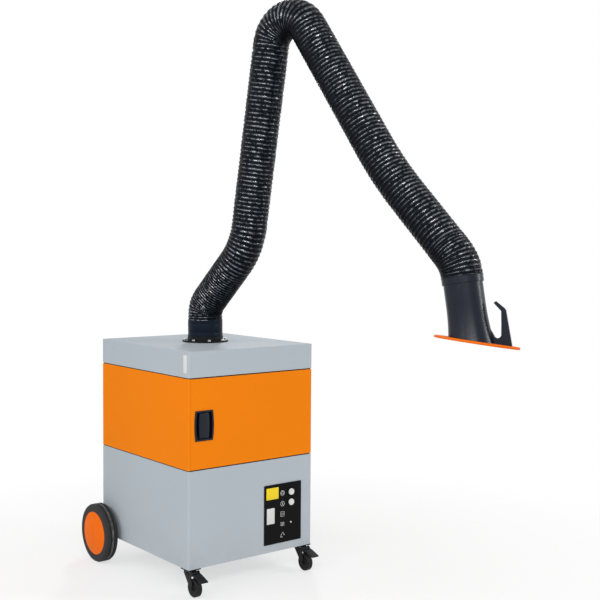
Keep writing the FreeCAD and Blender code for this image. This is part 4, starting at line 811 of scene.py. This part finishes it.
def pictograms(x, face, heights, size):
    """Generic line signs: fan, stop bar, pleated filter, air flow and arm."""
    shape = bmesh.new()
    h = size / 2
    fan, bar, pleats, flow, bent = heights

    def stroke(points, width=SIGN_LINE):
        ribbon(shape, points, width, face)

    def path(z, *steps):
        """Points given as shares of half a sign from its middle."""
        return [(x + h * a, z + h * b) for a, b in steps]

    stroke(arc(x, fan, h, 0, 360, 28))
    for turn in (90, 210, 330):
        cx, cz = arc(x, fan, h * 0.42, turn, turn, 1)[0]
        stroke(arc(cx, cz, h * 0.30, turn - 150, turn + 80, 10))
    stroke(arc(x, bar, h, 0, 360, 28))
    stroke(path(bar, (0.0, -0.5), (0.0, 0.5)), SIGN_LINE * BOLD)
    stroke(path(pleats, (-1, -1), (-1, 1), (1, 1), (1, -1), (-1, -1)))
    stroke(path(pleats, *((-0.7 + 0.28 * i, 0.55 if i % 2 else -0.55) for i in range(6))))
    for lift in (-0.6, 0.0, 0.6):
        stroke(path(flow, *((i / 6 - 1, lift + 0.2 * math.sin(i * 0.9)) for i in range(13))))
    stroke(path(bent, (-1, -1), (-0.5, 0.2), (0.3, 1), (1, 0)))
    stroke(path(bent, (-1.1, -1), (0.2, -1)))
    stroke(path(bent, (0.75, -0.05), (1.15, -0.25)), SIGN_LINE * BOLD)
    return from_bmesh("panel_signs", shape, "ink")


class EXTRACTOR_OT_controls(bpy.types.Operator):
    """Film, blank plates, line signs, screws, buttons and lamp of the control panel"""
    bl_idname = "extractor.controls"
    bl_label = "Controls"

    def execute(self, context):
        dress("panel_film", "control_panel")
        dress("white_plastic", "start_button", "stop_button")
        dress("lamp_lens", "status_lamp")
        face = BASE_LOW.y - PANEL_THICK
        left = PANEL_LOW.x
        yellow, white = [plate(name, (left + low[0], face - BLANK_THICK, low[1]),
                               (left + high[0], face, high[1]), material, BLANK_CORNER, BLANK_BEVEL)
                         for name, material, low, high in BLANKS]
        signs = pictograms(left + SIGN_COLUMN, face, SIGN_HEIGHTS, SIGN_SIZE)
        spots = [(x, face, z) for x in (PANEL_LOW.x + PANEL_INSET, PANEL_HIGH.x - PANEL_INSET)
                 for z in (PANEL_LOW.z + PANEL_INSET, PANEL_HIGH.z - PANEL_INSET)]
        screws = heads("panel_screws", spots, FRONT, PANEL_SCREW, "satin_black")
        for made, slot in ((yellow, "white_plastic"), (white, "white_plastic"),
                           (signs, "white_plastic"), (screws, "black_plastic")):
            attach(made, "cabinet")
        points, faces = turned(BUTTON_CROWN, 40)
        turn = facing(FRONT)
        for name in ("start_button", "stop_button"):
            low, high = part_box(name)
            middle = Vector(middle_of(low, high, low.y))
            crown = piece(name + "_crown", [turn @ p + middle for p in points], faces,
                          "white_plastic")
            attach(crown, name)
        return {"FINISHED"}


def crowned_cover(name, middle, half_width, half_height, bow, crown, skirt):
    """Cover crowned from side to side on a face towards -Y, with bowed sides and a skirt behind."""
    across, upright = 28, 16
    end_round, end_share = 0.004, 0.55
    points = []
    for j in range(upright + 1):
        z = half_height * (2.0 * j / upright - 1.0)
        reach = half_width + bow * (1.0 - (z / half_height) ** 2)
        ends = math.sin(min(1.0, (half_height - abs(z)) / end_round) * math.pi / 2)
        for i in range(across + 1):
            u = math.sin(math.pi * (i / across - 0.5))
            proud = crown * (1.0 - u * u) ** 0.75 * (end_share + (1.0 - end_share) * ends)
            points.append(Vector(middle) + Vector((u * reach, -proud, z)))
    row = across + 1
    faces = quads(upright + 1, row, closed=False)
    edge = list(range(row)) + [j * row + across for j in range(1, upright)]
    edge += list(range(upright * row + across, upright * row - 1, -1))
    edge += [j * row for j in range(upright - 1, 0, -1)]
    first, count = len(points), len(edge)
    points += [Vector((points[i].x, middle[1] + skirt, points[i].z)) for i in edge]
    faces += [(edge[k], first + k, first + (k + 1) % count, edge[(k + 1) % count])
              for k in range(count)]
    faces.append(tuple(range(first, first + count)))
    return piece(name, points, faces, "latch_black", crisp_over=50)


class EXTRACTOR_OT_latch(bpy.types.Operator):
    """Recessed latch of the door, with the crowned cover of its paddle"""
    bl_idname = "extractor.latch"
    bl_label = "Latch"

    def execute(self, context):
        dress("latch_black", "latch_dish", "latch_paddle")
        middle = middle_of(*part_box("latch_dish"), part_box("latch_paddle")[0].y)
        cover = crowned_cover("paddle_cover", middle, half_width=0.0222, half_height=0.0505,
                              bow=0.0024, crown=0.0030, skirt=0.0050)
        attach(cover, "latch")
        return {"FINISHED"}


class EXTRACTOR_OT_hood(bpy.types.Operator):
    """Hood, rim plate, guard and hose clamp"""
    bl_idname = "extractor.hood"
    bl_label = "Hood"

    def execute(self, context):
        dress("hood_black", "hood_shell", "hose_clamp")
        dress("orange_plastic", "hood_rim")
        dress("zinc", "hood_guard")
        return {"FINISHED"}


class EXTRACTOR_OT_arm_seat(bpy.types.Operator):
    """Flange, swivel and the skeleton of the arm inside the hose"""
    bl_idname = "extractor.arm_seat"
    bl_label = "Arm seat"

    def execute(self, context):
        dress("satin_black", "arm_flange", "swivel_ring", "wrist_yoke")
        dress("bright_bolt", "flange_bolts")
        dress("zinc", "pedestal", "lower_link", "upper_link")
        return {"FINISHED"}


class EXTRACTOR_OT_wheels(bpy.types.Operator):
    """Rear wheels with their caps, and the axle"""
    bl_idname = "extractor.wheels"
    bl_label = "Rear wheels"

    def execute(self, context):
        dress("tyre_rubber", "tyre_right", "tyre_left")
        dress("rim_black", "rim_right", "rim_left")
        dress("orange_plastic", "cap_right", "cap_left")
        dress("zinc", "rear_axle", "axle_blocks")
        return {"FINISHED"}


class EXTRACTOR_OT_casters(bpy.types.Operator):
    """Braked casters and the bolts under their plates"""
    bl_idname = "extractor.casters"
    bl_label = "Casters"

    def execute(self, context):
        dress("satin_black", "caster_plates", "caster_fork_right", "caster_fork_left",
              "brake_pedal_right", "brake_pedal_left")
        dress("caster_rubber", "caster_wheel_right", "caster_wheel_left")
        low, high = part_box("caster_plates")
        side, thick, inset = 0.060, 0.005, 0.0075
        spots = []
        for x0, x1 in ((low.x, low.x + side), (high.x - side, high.x)):
            spots += [(x, y, high.z - thick) for x in (x0 + inset, x1 - inset)
                      for y in (low.y + inset, high.y - inset)]
        bolts = heads("caster_bolts", spots, DOWN, CASTER_BOLT, "zinc")
        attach(bolts, "cabinet")
        return {"FINISHED"}


def filter_mat(name):
    """Soft pre-filter mat: closed pad with rounded edges and a slightly uneven top."""
    edge_round, top_band = 0.0035, 0.0036
    hollow, settle = 0.0018, 0.0008
    low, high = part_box("prefilter_mat")
    shape = block(low, high)
    bevelled(shape, list(shape.edges), edge_round, segments=2, profile=0.6)
    long_edges = [e for e in shape.edges if e.calc_length() > 0.1]
    bmesh.ops.subdivide_edges(shape, edges=long_edges, cuts=18, use_grid_fill=True)
    for v in shape.verts:
        wave = noise.noise((v.co.x * 14, v.co.y * 14, v.co.z * 5))
        if v.co.z > high.z - top_band:
            v.co.z += min(0.0, hollow * wave - settle)
    return from_bmesh(name, shape, "felt", crisp_over=50)


def strap_pull(name, middle, width, proud, band):
    """Bent steel pull on a face towards -Y: two feet and a bowed grip of flat band."""
    foot, thick, edge_round = 0.018, 0.002, 0.0005
    half = width / 2
    rise = [(-half - foot, 0.0), (-half, 0.0), (-half + 0.006, -proud * 0.55),
            (-half + 0.014, -proud)]
    line = rise + [(half * share, -proud) for share in (-0.28, 0.0, 0.28)]
    line += [(-x, y) for x, y in reversed(rise)]
    section = ((0.0, -band / 2), (0.0, band / 2), (-thick, band / 2), (-thick, -band / 2))
    shape = bmesh.new()
    verts = [shape.verts.new(Vector(middle) + Vector((x, y + dy, dz)))
             for x, y in line for dy, dz in section]
    for face in quads(len(line), len(section)):
        shape.faces.new([verts[i] for i in face])
    shape.faces.new(verts[:4])
    shape.faces.new(verts[-4:][::-1])
    bmesh.ops.recalc_face_normals(shape, faces=shape.faces)
    bevelled(shape, [e for e in shape.edges if e.calc_length() > 0.003], edge_round, segments=2)
    return from_bmesh(name, shape, "satin_black", crisp_over=40)


class EXTRACTOR_OT_inside(bpy.types.Operator):
    """Filter cassette, mat, spark trap, fan and motor inside the cabinet"""
    bl_idname = "extractor.inside"
    bl_label = "Inside"

    def execute(self, context):
        dress("zinc", "filter_rails", "spark_trap", "fan_deck", "inlet_cone", "fan_casing")
        dress("cast", "fan_motor", "impeller", "filter_frame")
        dress("felt", "filter_pleats", "prefilter_mat")
        mat = filter_mat("felt_mat")
        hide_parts("prefilter_mat")
        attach(mat, "cabinet")
        low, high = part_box("filter_frame")
        pull = strap_pull("cassette_pull", middle_of(low, high, low.y), width=0.130, proud=0.013,
                          band=0.022)
        up, aside, count = 0.014, 0.02, 6
        spots = [(x, low.y, z) for z in (low.z + up, high.z - up)
                 for x in np.linspace(low.x + aside, high.x - aside, count)]
        rivets = heads("cassette_rivets", spots, FRONT, CASSETTE_RIVET, "zinc", socket=False)
        for made in (pull, rivets):
            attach(made, "cabinet")
        return {"FINISHED"}


def area_lamp(name, place, aim, width, height, watts):
    light = bpy.data.lights.new(name, "AREA")
    light.shape, light.size, light.size_y, light.energy = "RECTANGLE", width, height, watts
    lamp = bpy.data.objects.new(name, light)
    lamp.location = place
    lamp.rotation_euler = (Vector(aim) - Vector(place)).to_track_quat("-Z", "Y").to_euler()
    bpy.context.scene.collection.objects.link(lamp)


def seen_rays(f):
    """1 for rays from the camera, mirrors and glass, 0 for the light that falls on things."""
    seen = [f.node("ShaderNodeLightPath", out=name) for name in
            ("Is Camera Ray", "Is Glossy Ray", "Is Transmission Ray")]
    return (seen[0] + seen[1] + seen[2]).held()


def pale_floor():
    """Material of the floor: near white to the eye, keeps shadows, fades out far away."""
    f = Finish("floor_pale", Specular_IOR_Level=0.1)
    x, y, _ = f.axes()
    far = (x ** 2.0 + (y - FLOOR_MIDDLE_Y) ** 2.0) ** 0.5
    f.surface(FLOOR_TONE, 0.9 - f.grain(20.0) * 0.05)
    glow = f.node("ShaderNodeEmission", None, {"Color": WHITE, "Strength": 1.0})
    clear = f.node("ShaderNodeBsdfTransparent", None, {"Color": WHITE})
    lit = f.node("ShaderNodeMixShader", None,
                 {0: seen_rays(f) * 0.62, 1: f.bare, 2: glow})
    fade = f.ramp(far * 0.4, (0.30, 0.0), (0.92, 1.0))
    whole = f.node("ShaderNodeMixShader", None, {0: fade, 1: lit, 2: clear})
    f.feed(f.out.inputs["Surface"], whole)
    return f.material


class EXTRACTOR_OT_stage(bpy.types.Operator):
    """Pale floor, white surround, lamps and the camera"""
    bl_idname = "extractor.stage"
    bl_label = "Stage"

    def execute(self, context):
        scene, levels = context.scene, context.scene.extractor_stage
        scene.view_settings.view_transform = "Standard"
        world = bpy.data.worlds.new("surround")
        scene.world = world
        world.use_nodes = True
        f = Formulas(world.node_tree)
        strength = seen_rays(f) * (1.0 - levels.surround) + levels.surround
        sky = f.node("ShaderNodeBackground", None, {"Color": WHITE, "Strength": strength})
        f.add("ShaderNodeOutputWorld", values={"Surface": sky})

        shape = bmesh.new()
        bmesh.ops.create_circle(shape, cap_ends=True, radius=FLOOR_RADIUS, segments=FLOOR_SEGMENTS)
        mesh = bpy.data.meshes.new("floor")
        shape.to_mesh(mesh)
        shape.free()
        floor = bpy.data.objects.new("floor", mesh)
        scene.collection.objects.link(floor)
        mesh.materials.append(pale_floor())

        for name, place, aim, width, height, level, share in LAMPS:
            area_lamp(name, place, aim, width, height, getattr(levels, level) * share)

        lens = bpy.data.cameras.new("photo_camera")
        lens.sensor_width, lens.lens, lens.clip_end = 36.0, levels.focal, 60.0
        camera = bpy.data.objects.new("photo_camera", lens)
        back, right = Vector(CAMERA_BACK).normalized(), Vector(CAMERA_RIGHT).normalized()
        back, right = ((back + right * CAMERA_PAN).normalized(),
                       (right - back * CAMERA_PAN).normalized())
        up = back.cross(right).normalized()
        c, s = math.cos(CAMERA_ROLL), math.sin(CAMERA_ROLL)
        turn = Matrix((right * c + up * s, up * c - right * s, back)).transposed().to_4x4()
        camera.matrix_world = Matrix.Translation(CAMERA_PLACE) @ turn
        scene.collection.objects.link(camera)
        scene.camera = camera
        return {"FINISHED"}


STEPS = (EXTRACTOR_OT_stage, EXTRACTOR_OT_hose, EXTRACTOR_OT_cabinet, EXTRACTOR_OT_controls,
         EXTRACTOR_OT_latch, EXTRACTOR_OT_hood, EXTRACTOR_OT_arm_seat, EXTRACTOR_OT_wheels,
         EXTRACTOR_OT_casters, EXTRACTOR_OT_inside)


class EXTRACTOR_PT_dressing(bpy.types.Panel):
    bl_idname = "EXTRACTOR_PT_dressing"
    bl_label = "Fume extractor"
    bl_space_type = "VIEW_3D"
    bl_region_type = "UI"
    bl_category = "Extractor"

    def draw(self, context):
        for step in STEPS:
            self.layout.operator(step.bl_idname)
        for name in GROUPS:
            group, column = getattr(context.scene, name), self.layout.column()
            for setting in group.__annotations__:
                column.prop(group, setting)


GROUPS = {"extractor_colours": ExtractorColours, "extractor_hose": HoseSizes,
          "extractor_stage": StageLevels}
CLASSES = (*GROUPS.values(), *STEPS, EXTRACTOR_PT_dressing)


def register():
    for made in CLASSES:
        bpy.utils.register_class(made)
    for name, group in GROUPS.items():
        setattr(bpy.types.Scene, name, PointerProperty(type=group))


def unregister():
    for name in GROUPS:
        delattr(bpy.types.Scene, name)
    for made in reversed(CLASSES):
        bpy.utils.unregister_class(made)


def main():
    register()
    bpy.ops.extractor.stage()
    bpy.ops.extractor.hose()
    bpy.ops.extractor.cabinet()
    bpy.ops.extractor.controls()
    bpy.ops.extractor.latch()
    bpy.ops.extractor.hood()
    bpy.ops.extractor.arm_seat()
    bpy.ops.extractor.wheels()
    bpy.ops.extractor.casters()
    bpy.ops.extractor.inside()


if __name__ == "__main__":
    main()
